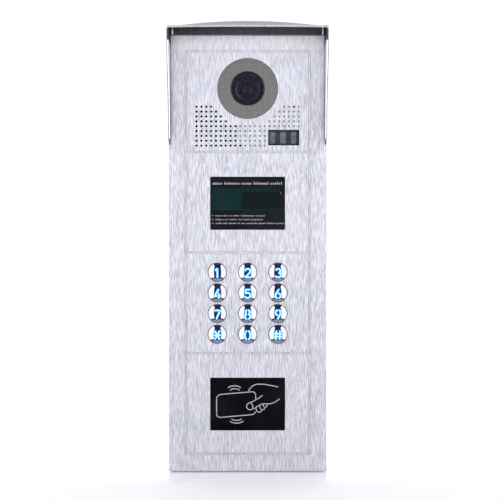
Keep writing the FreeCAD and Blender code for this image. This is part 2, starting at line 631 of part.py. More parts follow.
# ---- main board in the back box -----------------------------------------
MZ0 = "20"
own(fuse(slab("0", MZ0, "104", "150", "0-12", "board_thick"),
         slab("0-22", "48", "20", "20", "0-14", "2.1"), slab("18", "40", "14", "14", "0-13.6", "1.7"),
         slab("0-34", "0-34", "16", "20", "0-28", "16.1"),
         rod("y", "38", "0-26", "5", "6", "14.1"), rod("y", "38", "0-26", "22", "5", "14.1")), "main_board")
own(cut(slab("8", "0-48", "60", "11", "0-24", "12"),
        *[rod("y", "%d*7+8" % i, "0-25", "0-48", "1.8", "7") for i in range(-3, 4)]), "terminal_block")
main_posts = [rod("y", "%d*46" % sx, "0-10.4", "20" + sz, "2.8", "8.4") for sx in (-1, 1) for sz in ("+69", "-69")]
main_screws = [rod("y", "%d*46" % sx, "0-13.8", "20" + sz, "2.7", "1.8") for sx in (-1, 1) for sz in ("+69", "-69")]
own(group(*(keypad_posts + main_posts)), "board_standoffs")
own(group(*(keypad_screws + main_screws)), "board_screws")
# flat cables between the front boards and the main board
rib = []
for x, z, yb in (("0-6", "0-14", KB + "+board_thick"), ("4", "52", LY + "+4.2+board_thick")):
    rib.append(fuse(slab(x, z, "26", "6", yb, "4"), slab(x, z, "22", "0.9", yb + "+3.9", "0-12-7.9-(%s)" % yb), slab(x, z, "26", "6", "0-16", "4")))
own(group(*rib), "ribbon_cables")

doc.recompute()

# ---- check and write ----------------------------------------------------
bad = []
for o in doc.Objects:
    if "Invalid" in o.State or "Error" in o.State:
        bad.append((o.Name, o.Label, list(o.State)))
labels = set()
for o in parts:
    sh = o.Shape
    if sh.isNull() or not sh.isValid() or sh.Volume < 1e-3 or not sh.Solids:
        bad.append((o.Name, o.Label, "bad shape"))
    if o.Label in labels:
        bad.append((o.Name, o.Label, "label used twice"))
    labels.add(o.Label)
if bad:
    for b in bad:
        print("BAD", b)
    raise SystemExit("part.py: %d bad objects" % len(bad))

os.makedirs("parts", exist_ok=True)
for f in os.listdir("parts"):
    if f.endswith(".step") and f[:-5] not in labels:
        os.remove(os.path.join("parts", f))
for o in parts:
    o.Shape.exportStep("parts/%s.step" % o.Label)
print("%d sub-parts written" % len(parts))
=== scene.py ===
import bpy
import json
import math
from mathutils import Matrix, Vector


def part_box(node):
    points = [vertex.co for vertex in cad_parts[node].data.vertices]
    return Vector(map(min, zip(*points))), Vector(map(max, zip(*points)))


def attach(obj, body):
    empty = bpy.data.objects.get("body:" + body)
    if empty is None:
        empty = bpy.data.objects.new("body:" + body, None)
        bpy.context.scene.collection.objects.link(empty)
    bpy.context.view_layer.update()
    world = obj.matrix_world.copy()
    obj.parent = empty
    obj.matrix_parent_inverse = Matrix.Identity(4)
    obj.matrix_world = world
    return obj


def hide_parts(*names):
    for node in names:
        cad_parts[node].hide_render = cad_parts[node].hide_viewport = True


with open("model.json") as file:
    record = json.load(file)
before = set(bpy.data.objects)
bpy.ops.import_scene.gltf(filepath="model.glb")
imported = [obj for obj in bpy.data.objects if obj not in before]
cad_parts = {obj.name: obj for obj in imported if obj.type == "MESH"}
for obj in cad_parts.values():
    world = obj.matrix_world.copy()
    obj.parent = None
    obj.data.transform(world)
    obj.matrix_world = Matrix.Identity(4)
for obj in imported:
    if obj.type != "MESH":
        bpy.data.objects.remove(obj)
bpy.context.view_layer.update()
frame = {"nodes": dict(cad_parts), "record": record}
rec = frame["record"]
SLOT_OF = {s["node"]: s["material_slot"] for s in rec["subparts"]}
BODY_OF = {n: b for b, ns in rec["behaviour"]["bodies"].items() for n in ns}
scene = bpy.context.scene
MM = 0.001

# ---------------------------------------------------------------- materials


class Mat:
    """A node material with a few short helpers."""

    def __init__(self, name, color=(0.5, 0.5, 0.5), metallic=0.0, rough=0.5, **kw):
        self.m = bpy.data.materials.new(name)
        self.m.use_nodes = True
        self.nt = self.m.node_tree
        self.b = self.nt.nodes["Principled BSDF"]
        self.b.inputs["Base Color"].default_value = (*color, 1)
        self.b.inputs["Metallic"].default_value = metallic
        self.b.inputs["Roughness"].default_value = rough
        for k, v in kw.items():
            self.b.inputs[k.replace("_", " ")].default_value = v
        self.co = None
        self.bump_in = None

    def n(self, kind, **kw):
        o = self.nt.nodes.new(kind)
        for k, v in kw.items():
            if isinstance(k, str) and k.startswith("i_"):
                o.inputs[k[2:].replace("_", " ")].default_value = v
            else:
                setattr(o, k, v)
        return o

    def link(self, a, b):
        self.nt.links.new(a, b)

    def coords(self, scale=(1, 1, 1), rot=(0, 0, 0), loc=(0, 0, 0)):
        if self.co is None:
            self.co = self.n("ShaderNodeTexCoord")
        mp = self.n("ShaderNodeMapping")
        mp.inputs["Scale"].default_value = scale
        mp.inputs["Rotation"].default_value = rot
        mp.inputs["Location"].default_value = loc
        self.link(self.co.outputs["Object"], mp.inputs["Vector"])
        return mp.outputs["Vector"]

    def noise(self, scale=(1, 1, 1), detail=3.0, rough=0.5, distortion=0.0, rot=(0, 0, 0), loc=(0, 0, 0)):
        t = self.n("ShaderNodeTexNoise")
        t.inputs["Scale"].default_value = 1.0
        t.inputs["Detail"].default_value = detail
        t.inputs["Roughness"].default_value = rough
        t.inputs["Distortion"].default_value = distortion
        self.link(self.coords(scale, rot, loc), t.inputs["Vector"])
        return t.outputs["Fac"]

    def remap(self, fac, lo, hi, a=0.0, b=1.0, smooth=False):
        r = self.n("ShaderNodeMapRange")
        r.clamp = True
        if smooth:
            r.interpolation_type = "SMOOTHSTEP"
        r.inputs["From Min"].default_value = lo
        r.inputs["From Max"].default_value = hi
        r.inputs["To Min"].default_value = a
        r.inputs["To Max"].default_value = b
        self.link(fac, r.inputs["Value"])
        return r.outputs["Result"]

    def math(self, op, a, b=None):
        o = self.n("ShaderNodeMath", operation=op)
        for i, v in enumerate((a, b)):
            if v is None:
                continue
            if isinstance(v, (int, float)):
                o.inputs[i].default_value = v
            else:
                self.link(v, o.inputs[i])
        return o.outputs["Value"]

    def mix(self, fac, a, b, blend="MIX"):
        o = self.n("ShaderNodeMix", data_type="RGBA", blend_type=blend)
        if isinstance(fac, (int, float)):
            o.inputs[0].default_value = fac
        else:
            self.link(fac, o.inputs[0])
        for i, v in ((6, a), (7, b)):
            if isinstance(v, tuple):
                o.inputs[i].default_value = (*v, 1) if len(v) == 3 else v
            else:
                self.link(v, o.inputs[i])
        return o.outputs[2]

    def set(self, name, socket):
        self.link(socket, self.b.inputs[name])

    def bump(self, height, strength=0.2, dist=0.0002):
        o = self.n("ShaderNodeBump")
        o.inputs["Strength"].default_value = strength
        o.inputs["Distance"].default_value = dist
        self.link(height, o.inputs["Height"])
        if self.bump_in is not None:
            self.link(self.bump_in, o.inputs["Normal"])
        self.bump_in = o.outputs["Normal"]
        self.link(self.bump_in, self.b.inputs["Normal"])
        return self

    def tangent(self, axis="Z"):
        t = self.n("ShaderNodeTangent", direction_type="RADIAL", axis=axis)
        self.link(t.outputs["Tangent"], self.b.inputs["Tangent"])


def axis_of(M, name):
    s = M.n("ShaderNodeSeparateXYZ")
    if M.co is None:
        M.co = M.n("ShaderNodeTexCoord")
    M.link(M.co.outputs["Object"], s.inputs["Vector"])
    return s.outputs[name]


def brushed(name, light, dark, rough=(0.52, 0.64), run="Z", painted_shading=None, aniso=0.88, metal=1.0, edge_tint=None):
    """Brushed aluminium: streaks of three widths along one axis."""
    M = Mat(name, light, metal, 0.4)
    M.b.inputs["Anisotropic"].default_value = aniso
    if edge_tint:
        M.b.inputs["Specular Tint"].default_value = (*edge_tint, 1)

    def sc(across, along):
        return {"Z": (across, across, along), "X": (along, across, across), "Y": (across, along, across)}[run]

    fine = M.noise(sc(1650, 135), 3, 0.62)
    mid = M.noise(sc(1040, 84), 3, 0.6, loc=(3.1, 1.7, 9.2))
    wide = M.noise(sc(360, 40), 3, 0.55, loc=(7.7, 4.1, 2.3))
    cloud = M.noise((14, 14, 14), 2, 0.5)
    s = M.math("ADD", M.math("MULTIPLY", fine, 0.52), M.math("MULTIPLY", mid, 0.40))
    s = M.math("ADD", s, M.math("MULTIPLY", wide, 0.08))
    f = M.remap(s, 0.43, 0.57)
    col = M.mix(f, dark, light)
    col = M.mix(M.remap(cloud, 0.35, 0.65, 0.0, 0.22), col, tuple(c * 0.93 for c in light))
    if painted_shading:
        # painted shade: the two fine edges of each engraved line read a little darker than the brushed face
        ax = M.math("ABSOLUTE", axis_of(M, "X"))
        zz = axis_of(M, "Z")
        # painted shade: the face darkens towards its foot
        low = M.remap(zz, -0.19, 0.02, 0.14, 0.0, smooth=True)
        col = M.mix(low, col, (0.42, 0.42, 0.48))
        # painted light: the face pales towards white under the hood, where the roof's shadow falls
        high = M.remap(zz, 0.110, 0.186, 0.0, 0.85, smooth=True)
        col = M.mix(high, col, M.mix(f, (0.66, 0.66, 0.755), (0.93, 0.93, 1.0)))
        # more painted light in the top strip just under the roof
        col = M.mix(M.remap(zz, 0.172, 0.190, 0.0, 0.60, smooth=True), col, M.mix(f, (0.84, 0.83, 0.93), (1.0, 0.99, 1.0)))
        # painted shade along both edges of each engraved line
        dv = M.math("ABSOLUTE", M.math("SUBTRACT", ax, 0.0550))
        upr = M.remap(M.math("ABSOLUTE", M.math("SUBTRACT", dv, 0.00080)), 0.00018, 0.00036, 1.0, 0.0)
        upr = M.math("MULTIPLY", upr, M.remap(M.math("ABSOLUTE", M.math("SUBTRACT", zz, 0.0006)), 0.1798, 0.1801, 1.0, 0.0))
        turn = M.math("FLOORED_MODULO", M.math("ADD", zz, 0.04415), 0.0895)
        dh = M.math("ABSOLUTE", M.math("SUBTRACT", turn, 0.04475))
        lev = M.remap(M.math("ABSOLUTE", M.math("SUBTRACT", dh, 0.00080)), 0.00018, 0.00036, 1.0, 0.0)
        lev = M.math("MULTIPLY", lev, M.remap(ax, 0.0557, 0.0560, 1.0, 0.0))
        edge = M.math("MAXIMUM", upr, lev)
        col = M.mix(M.math("MULTIPLY", edge, 0.36), col, painted_shading[2])
        # engraved and drilled places sit behind the front plane and hold less light
        front, far, recess_shade = painted_shading
        y = axis_of(M, "Y")
        col = M.mix(M.remap(y, front + 0.00008, front + 0.00030), col, M.mix(0.04, col, recess_shade))
        col = M.mix(M.remap(y, front + 0.00040, front + 0.00054), col, M.mix(0.74, col, recess_shade))
        drilled = M.math("MULTIPLY", M.remap(zz, 0.0915, 0.0930), M.remap(zz, 0.1330, 0.1345, 1.0, 0.0))
        col = M.mix(M.math("MULTIPLY", M.remap(y, front + 0.00062, front + 0.00110), drilled), col, (0.006, 0.006, 0.007))
        # soft shade where the hood's wings stand beside the face
        by_wing = M.math("MULTIPLY", M.remap(ax, 0.0655, 0.0674, smooth=True), M.math("MULTIPLY", M.remap(zz, 0.1020, 0.1055, smooth=True), M.remap(zz, 0.140, 0.165, 1.0, 0.35, smooth=True)))
        col = M.mix(M.math("MULTIPLY", by_wing, 0.22), col, painted_shading[2])
    M.set("Base Color", col)
    M.set("Roughness", M.remap(f, 0, 1, rough[1], rough[0]))
    M.bump(s, 0.16, 0.00004)
    M.tangent("Z" if run != "Y" else "Y")
    return M.m


def painted(name, color, grain=900, depth=0.25, rough=0.5, metallic=0.0, spec=0.5):
    M = Mat(name, color, metallic, rough)
    M.b.inputs["Specular IOR Level"].default_value = spec
    g = M.noise((grain, grain, grain), 3, 0.6)
    big = M.noise((30, 30, 30), 3, 0.5)
    col = M.mix(M.remap(big, 0.35, 0.65), tuple(c * 0.965 for c in color), tuple(min(1, c * 1.03) for c in color))
    M.set("Base Color", M.mix(M.remap(g, 0.35, 0.65, 0, 0.3), col, tuple(c * 0.8 for c in color)))
    M.set("Roughness", M.remap(g, 0.3, 0.7, rough * 0.85, min(1, rough * 1.15)))
    M.bump(g, depth, 0.00008)
    return M.m


def steel(name, color, rough=0.3):
    M = Mat(name, color, 1.0, rough)
    g = M.noise((700, 700, 700), 3, 0.6)
    big = M.noise((90, 90, 90), 2, 0.5)
    M.set("Base Color", M.mix(M.remap(big, 0.3, 0.7), tuple(c * 0.86 for c in color), color))
    M.set("Roughness", M.remap(g, 0.3, 0.7, rough * 0.75, rough * 1.3))
    M.bump(g, 0.1, 0.00003)
    return M.m


def gloss(name, color, rough=0.06, coat=0.0, spec=0.5, tint=0.0):
    M = Mat(name, color, 0.0, rough)
    M.b.inputs["Specular IOR Level"].default_value = spec
    M.b.inputs["Coat Weight"].default_value = coat
    M.b.inputs["Coat Roughness"].default_value = 0.03
    dust = M.noise((2600, 2600, 2600), 2, 0.5)
    haze = M.noise((24, 24, 24), 3, 0.55)
    c2 = tuple(min(1, c * 1.5 + 0.004) for c in color)
    M.set("Base Color", M.mix(M.remap(haze, 0.35, 0.7), color, c2))
    M.set("Roughness", M.math("ADD", M.remap(haze, 0.3, 0.7, rough * 0.7, rough * 1.4), M.remap(dust, 0.66, 0.8, 0, 0.10)))
    return M.m


def board(name, color):
    """Solder mask with copper tracks showing through as slightly lighter lines."""
    M = Mat(name, color, 0.0, 0.35)
    br = M.n("ShaderNodeTexBrick")
    br.inputs["Scale"].default_value = 1.0
    br.inputs["Mortar Size"].default_value = 0.06
    br.inputs["Color1"].default_value = (*color, 1)
    br.inputs["Color2"].default_value = (*[c * 0.82 for c in color], 1)
    br.inputs["Mortar"].default_value = (*[min(1, c * 1.9 + 0.01) for c in color], 1)
    M.link(M.coords((420, 420, 420), rot=(math.radians(90), 0, 0)), br.inputs["Vector"])
    g = M.noise((200, 200, 200), 3, 0.5)
    M.set("Base Color", M.mix(M.remap(g, 0.4, 0.6, 0.25, 0.9), br.outputs["Color"], color))
    M.set("Roughness", M.remap(g, 0.3, 0.7, 0.25, 0.45))
    M.bump(br.outputs["Fac"], 0.2, 0.00005)
    return M.m


def smoked(name, color, clear=0.5, rough=0.03):
    """Tinted acrylic: a clear sheet that darkens what is behind it."""
    M = Mat(name, color, 0.0, rough)
    M.b.inputs["IOR"].default_value = 1.49
    out = [x for x in M.nt.nodes if x.type == "OUTPUT_MATERIAL"][0]
    tr = M.n("ShaderNodeBsdfTransparent")
    haze = M.noise((60, 60, 60), 3, 0.5)
    tr_col = M.mix(M.remap(haze, 0.35, 0.65), tuple(c * 0.94 for c in clear), clear)
    M.link(tr_col, tr.inputs["Color"])
    M.set("Roughness", M.remap(haze, 0.3, 0.7, rough * 0.7, rough * 1.4))
    gl = M.n("ShaderNodeBsdfGlossy")
    gl.inputs["Color"].default_value = (1, 1, 1, 1)
    gl.inputs["Roughness"].default_value = rough
    fr = M.n("ShaderNodeLayerWeight")
    fr.inputs["Blend"].default_value = 0.5
    mx = M.n("ShaderNodeMixShader")
    grow = M.math("ADD", M.math("MULTIPLY", M.math("POWER", fr.outputs["Facing"], 5.0), 0.9), 0.035)
    M.link(grow, mx.inputs["Fac"])
    M.link(tr.outputs["BSDF"], mx.inputs[1])
    M.link(gl.outputs["BSDF"], mx.inputs[2])
    mx2 = M.n("ShaderNodeMixShader")
    mx2.inputs["Fac"].default_value = 0.12
    M.link(mx.outputs["Shader"], mx2.inputs[1])
    M.link(M.b.outputs["BSDF"], mx2.inputs[2])
    M.link(mx2.outputs["Shader"], out.inputs["Surface"])
    return M.m


def glow(name, deep, core, strength):
    """Light guide: an even glow, paler in the middle of patches."""
    M = Mat(name, deep, 0.0, 0.35)
    g = M.noise((420, 420, 420), 2, 0.5)
    col = M.mix(M.remap(g, 0.35, 0.65), deep, core)
    M.set("Base Color", col)
    M.set("Emission Color", col)
    M.b.inputs["Emission Strength"].default_value = strength
    return M.m


FRONT_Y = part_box("front_panel")[0].y          # front plane of the panel
MATS = {
    "brushed_panel": brushed("brushed_panel", (0.86, 0.86, 0.925), (0.50, 0.50, 0.57), painted_shading=(FRONT_Y, 0, (0.16, 0.16, 0.20)), metal=0.40),
    "hood_aluminium": brushed("hood_aluminium", (0.51, 0.50, 0.56), (0.31, 0.30, 0.355), run="Y", rough=(0.34, 0.48), aniso=0.5, metal=0.8, edge_tint=(0.30, 0.30, 0.33)),
    "box_paint": painted("box_paint", (0.46, 0.46, 0.48), 1400, 0.35, 0.55),
    "black_rubber": painted("black_rubber", (0.022, 0.022, 0.023), 1500, 0.4, 0.75),
    "stainless": steel("stainless", (0.66, 0.66, 0.67), 0.25),
    "zinc_steel": steel("zinc_steel", (0.58, 0.58, 0.56), 0.34),
    "ring_mesh": painted("ring_mesh", (0.040, 0.041, 0.038), 2000, 0.2, 0.55),
    "smoked_window": smoked("smoked_window", (0.060, 0.060, 0.076), (0.80, 0.80, 0.84), 0.03),
    "black_plastic": painted("black_plastic", (0.016, 0.016, 0.019), 1800, 0.3, 0.42),
    "lens_glass": gloss("lens_glass", (0.030, 0.022, 0.070), 0.04, 1.0, 0.9),
    "circuit_board": board("circuit_board", (0.015, 0.10, 0.045)),
    "black_gauze": painted("black_gauze", (0.004, 0.004, 0.0045), 3000, 0.6, 0.95, spec=0.03),
    "aluminium_can": steel("aluminium_can", (0.72, 0.72, 0.73), 0.3),
    "led_epoxy": gloss("led_epoxy", (0.42, 0.34, 0.385), 0.12, 0.5),
    "black_glass": gloss("black_glass", (0.0065, 0.0065, 0.0085), 0.05, 0.0, 0.5),
    "lcd_green": gloss("lcd_green", (0.007, 0.040, 0.036), 0.12),
    "key_lightguide": glow("key_lightguide", (0.05, 0.30, 0.95), (0.20, 0.60, 1.0), 0.6),
    "green_plastic": painted("green_plastic", (0.02, 0.22, 0.06), 1500, 0.2, 0.45),
    "grey_cable": painted("grey_cable", (0.42, 0.42, 0.44), 900, 0.3, 0.5),
}
ch = Mat("key_chrome", (0.90, 0.91, 0.93), 1.0, 0.035)
hz = ch.noise((160, 160, 160), 3, 0.5)
ch.set("Base Color", ch.mix(ch.remap(hz, 0.3, 0.7), (0.84, 0.85, 0.88), (0.93, 0.94, 0.96)))
ch.set("Roughness", ch.remap(hz, 0.3, 0.7, 0.02, 0.055))
MATS["key_chrome"] = ch.m

for name, ob in frame["nodes"].items():
    ob.data.materials.clear()
    ob.data.materials.append(MATS[SLOT_OF[name]])

frame["nodes"]["lamp_board"].data.materials[0] = board("lamp_board_mask", (0.046, 0.088, 0.094))

# the hood is bare outside; under its roof the dark colour is painted shade, the wings' insides are painted near white
# as a painted reflection, and their front edges carry painted light and shade
roof_underside_shade = painted("hood_roof_painted_shade", (0.035, 0.032, 0.037), 1600, 0.35, 0.6, spec=0.25)
# painted reflection: the wings' insides are near white, as they mirror the pale floor and backdrop
wing_in = brushed("hood_wing_inside", (1.0, 1.0, 1.0), (0.94, 0.94, 0.96), rough=(0.30, 0.40), aniso=0.4, metal=0.0)
# wings' front edges: a pale painted highlight, with painted shade as a dark line along the outer side and as a dark
# block at the top corner
sheared_m = Mat("hood_sheared_edge", (0.5, 0.5, 0.52), 0.0, 0.4)
sg = sheared_m.noise((900, 900, 900), 3, 0.6)
outer_shade_line = sheared_m.remap(sheared_m.math("ABSOLUTE", axis_of(sheared_m, "X")), 0.06932, 0.06948)
corner_shade = sheared_m.remap(axis_of(sheared_m, "Z"), 0.1842, 0.1846)
edge_light_and_shade = sheared_m.mix(sheared_m.math("MAXIMUM", outer_shade_line, corner_shade), sheared_m.mix(sg, (0.96, 0.96, 0.97), (1.0, 1.0, 1.0)), sheared_m.mix(sg, (0.040, 0.040, 0.046), (0.075, 0.075, 0.082)))
sheared_m.set("Base Color", edge_light_and_shade)
sheared_m.set("Roughness", sheared_m.remap(sg, 0.3, 0.7, 0.32, 0.5))
sheared_m.bump(sg, 0.15, 0.00004)
sheared = sheared_m.m
# the folded corner under the roof is in shade down to the wing's own fold line
wn_b = wing_in.node_tree.nodes["Principled BSDF"]
wc = wing_in.node_tree.nodes.new("ShaderNodeTexCoord")
ws = wing_in.node_tree.nodes.new("ShaderNodeSeparateXYZ")
wr = wing_in.node_tree.nodes.new("ShaderNodeMapRange")
wm = wing_in.node_tree.nodes.new("ShaderNodeMix")
wm.data_type = "RGBA"
wr.inputs["From Min"].default_value, wr.inputs["From Max"].default_value = 0.1898, 0.1903
wing_in.node_tree.links.new(wc.outputs["Object"], ws.inputs["Vector"])
# the fold line rises towards the back with the roof
slope = wing_in.node_tree.nodes.new("ShaderNodeMath")
slope.operation = "MULTIPLY_ADD"
slope.inputs[1].default_value, slope.inputs[2].default_value = -0.1348, -0.00607
lift_ = wing_in.node_tree.nodes.new("ShaderNodeMath")
# painted shade at two thirds strength on the wings' insides next to the panel
near = wing_in.node_tree.nodes.new("ShaderNodeMapRange")
near.inputs["From Min"].default_value, near.inputs["From Max"].default_value = -0.0585, -0.0545
most = wing_in.node_tree.nodes.new("ShaderNodeMath")
most.operation = "MAXIMUM"
half_ = wing_in.node_tree.nodes.new("ShaderNodeMath")
half_.operation = "MULTIPLY"
half_.inputs[1].default_value = 0.66
wing_in.node_tree.links.new(ws.outputs["Y"], slope.inputs[0])
wing_in.node_tree.links.new(ws.outputs["Z"], lift_.inputs[0])
wing_in.node_tree.links.new(slope.outputs["Value"], lift_.inputs[1])
wing_in.node_tree.links.new(lift_.outputs["Value"], wr.inputs["Value"])
wing_in.node_tree.links.new(ws.outputs["Y"], near.inputs["Value"])
wing_in.node_tree.links.new(near.outputs["Result"], half_.inputs[0])
wing_in.node_tree.links.new(wr.outputs["Result"], most.inputs[0])
wing_in.node_tree.links.new(half_.outputs["Value"], most.inputs[1])
wing_in.node_tree.links.new(most.outputs["Value"], wm.inputs[0])
wing_in.node_tree.links.new(wn_b.inputs["Base Color"].links[0].from_socket, wm.inputs[6])
wm.inputs[7].default_value = (0.075, 0.075, 0.08, 1)
wing_in.node_tree.links.new(wm.outputs[2], wn_b.inputs["Base Color"])
# painted light: the front hem is a brighter copy of the hood metal, for the lip's face that meets the lamps
hem = brushed("hood_hem", (0.52, 0.52, 0.57), (0.38, 0.38, 0.42), run="Z", rough=(0.34, 0.48), aniso=0.3, metal=0.25)
hood = frame["nodes"]["rain_hood"]
for extra in (roof_underside_shade, wing_in, sheared, hem):
    hood.data.materials.append(extra)
for poly in hood.data.polygons:
    c, nrm = poly.center, poly.normal
    if abs(c.x) < 0.0692 and c.y > -0.0862 and ((nrm.z < -0.25 and c.z > 0.180 and abs(nrm.y) < 0.85) or (c.z > 0.1845 and nrm.z < 0.25 and nrm.x * c.x < 0 and abs(nrm.y) < 0.7)):
        poly.material_index = 1
    elif abs(c.x) < 0.0692 and nrm.x * c.x < 0 and abs(nrm.x) > 0.7:
        poly.material_index = 2
    elif nrm.y < -0.6 and abs(c.x) > 0.0684 and c.z < 0.1945:
        poly.material_index = 3
    elif nrm.y < -0.5 and c.z >= 0.193:
        poly.material_index = 4

# ---------------------------------------------------------------- mesh tools


def make(name, verts, faces, mat, body="housing", smooth=True, angle=35):
    me = bpy.data.meshes.new(name)
    me.from_pydata([tuple(v) for v in verts], [], faces)
    me.validate()
    me.update()
    ob = bpy.data.objects.new(name, me)
    scene.collection.objects.link(ob)
    me.materials.append(mat)
    if smooth:
        for p in me.polygons:
            p.use_smooth = True
    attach(ob, body)
    return ob


def sharp(ob, degrees=35):
    """Marks hard edges so that smooth shading stops there."""
    me = ob.data
    import bmesh
    bm = bmesh.new()
    bm.from_mesh(me)
    bmesh.ops.recalc_face_normals(bm, faces=bm.faces)
    for f in bm.faces:
        f.smooth = True
    for e in bm.edges:
        if len(e.link_faces) == 2 and e.calc_face_angle(0) > math.radians(degrees):
            e.smooth = False
    bm.to_mesh(me)
    bm.free()
    return ob


def lathe(name, profile, cx, cz, mat, body, seg=96, degrees=35):
    """Turns a closed (radius, y) profile round an axis along Y through (cx, cz)."""
    verts, faces, ring = [], [], []
    for r, y in profile:
        if r < 1e-9:
            ring.append([len(verts)])
            verts.append((cx, y, cz))
        else:
            ring.append(list(range(len(verts), len(verts) + seg)))
            for i in range(seg):
                a = 2 * math.pi * i / seg
                verts.append((cx + r * math.cos(a), y, cz + r * math.sin(a)))
    n = len(ring)
    for k in range(n):
        a, b = ring[k], ring[(k + 1) % n]
        if len(a) == 1 and len(b) == 1:
            continue
        for i in range(seg):
            j = (i + 1) % seg
            if len(a) == 1:
                faces.append((a[0], b[i], b[j]))
            elif len(b) == 1:
                faces.append((a[i], b[0], a[j]))
            else:
                faces.append((a[i], b[i], b[j], a[j]))
    return sharp(make(name, verts, faces, mat, body), degrees)


def smooth_path(pts, closed=False, step=6):
    """Catmull-Rom through the points."""
    out = []
    n = len(pts)
    last = n if closed else n - 1
    for i in range(last):
        p0 = pts[(i - 1) % n] if closed or i > 0 else pts[0]
        p1, p2 = pts[i], pts[(i + 1) % n]
        p3 = pts[(i + 2) % n] if closed or i + 2 < n else pts[-1]
        for k in range(step):
            t = k / step
            out.append(tuple(0.5 * ((2 * p1[d]) + (-p0[d] + p2[d]) * t + (2 * p0[d] - 5 * p1[d] + 4 * p2[d] - p3[d]) * t * t
                                    + (-p0[d] + 3 * p1[d] - 3 * p2[d] + p3[d]) * t ** 3) for d in (0, 1)))
    if not closed:
        out.append(tuple(pts[-1]))
    return out


def stroke(verts, faces, pts, width, put, top, low, closed=False):
    """Adds one rounded stroke with thickness; put(u, v, lift) gives its place."""
    n = len(pts)
    secs = []
    for i in range(n):
        a = pts[(i - 1) % n] if closed or i > 0 else pts[i]
        b = pts[(i + 1) % n] if closed or i < n - 1 else pts[i]
        tx, ty = b[0] - a[0], b[1] - a[1]
        d = math.hypot(tx, ty) or 1e-9
        secs.append((pts[i], (tx / d, ty / d), width / 2))
    if not closed:
        ends = []
        for end, sgn in ((0, -1), (-1, 1)):
            c, t, w = secs[end]
            cap = []
            for ang in (20, 40, 60, 78):
                s_, c_ = math.sin(math.radians(ang)), math.cos(math.radians(ang))
                cap.append(((c[0] + sgn * t[0] * w * s_, c[1] + sgn * t[1] * w * s_), t, w * c_))
            ends.append(cap)
        secs = list(reversed(ends[0])) + secs + ends[1]
    base = len(verts)
    for (u, v), (tx, ty), w in secs:
        nx, ny = -ty * w, tx * w
        verts.append(put(u + nx, v + ny, top))
        verts.append(put(u - nx, v - ny, top))
        verts.append(put(u - nx, v - ny, low))
        verts.append(put(u + nx, v + ny, low))
    m = len(secs)
    for i in range(m if closed else m - 1):
        a, b = base + 4 * i, base + 4 * ((i + 1) % m)
        for k in range(4):
            faces.append((a + k, b + k, b + (k + 1) % 4, a + (k + 1) % 4))
    if not closed:
        faces.append((base, base + 1, base + 2, base + 3))
        e = base + 4 * (m - 1)
        faces.append((e + 3, e + 2, e + 1, e))


def strokes(name, paths, width, put, top, low, mat, body):
    verts, faces = [], []
    for p in paths:
        closed = False
        w = width
        if isinstance(p, dict):
            closed, w, p = p.get("closed", False), p.get("w", width), p["p"]
        stroke(verts, faces, p, w, put, top, low, closed)
    return sharp(make(name, verts, faces, mat, body), 50)


def arc(cx, cy, rx, ry, a0, a1, n=14):
    return [(cx + rx * math.cos(math.radians(a0 + (a1 - a0) * i / n)), cy + ry * math.sin(math.radians(a0 + (a1 - a0) * i / n))) for i in range(n + 1)]


# ---------------------------------------------------------------- keys
KEYS = [("1", 0, 0), ("2", 1, 0), ("3", 2, 0), ("4", 0, 1), ("5", 1, 1), ("6", 2, 1),
        ("7", 0, 2), ("8", 1, 2), ("9", 2, 2), ("star", 0, 3), ("0", 1, 3), ("hash", 2, 3)]
R_KEY, DOME, EDGE = 8.2 * MM, 2.3 * MM, 0.7 * MM
R_IN = R_KEY - 0.35 * MM
R_SPH = (R_IN ** 2 + DOME ** 2) / (2 * DOME)
Y_TOP = FRONT_Y - EDGE - DOME


def dome_y(u, v):
    return Y_TOP + R_SPH - math.sqrt(R_SPH ** 2 - u * u - v * v)


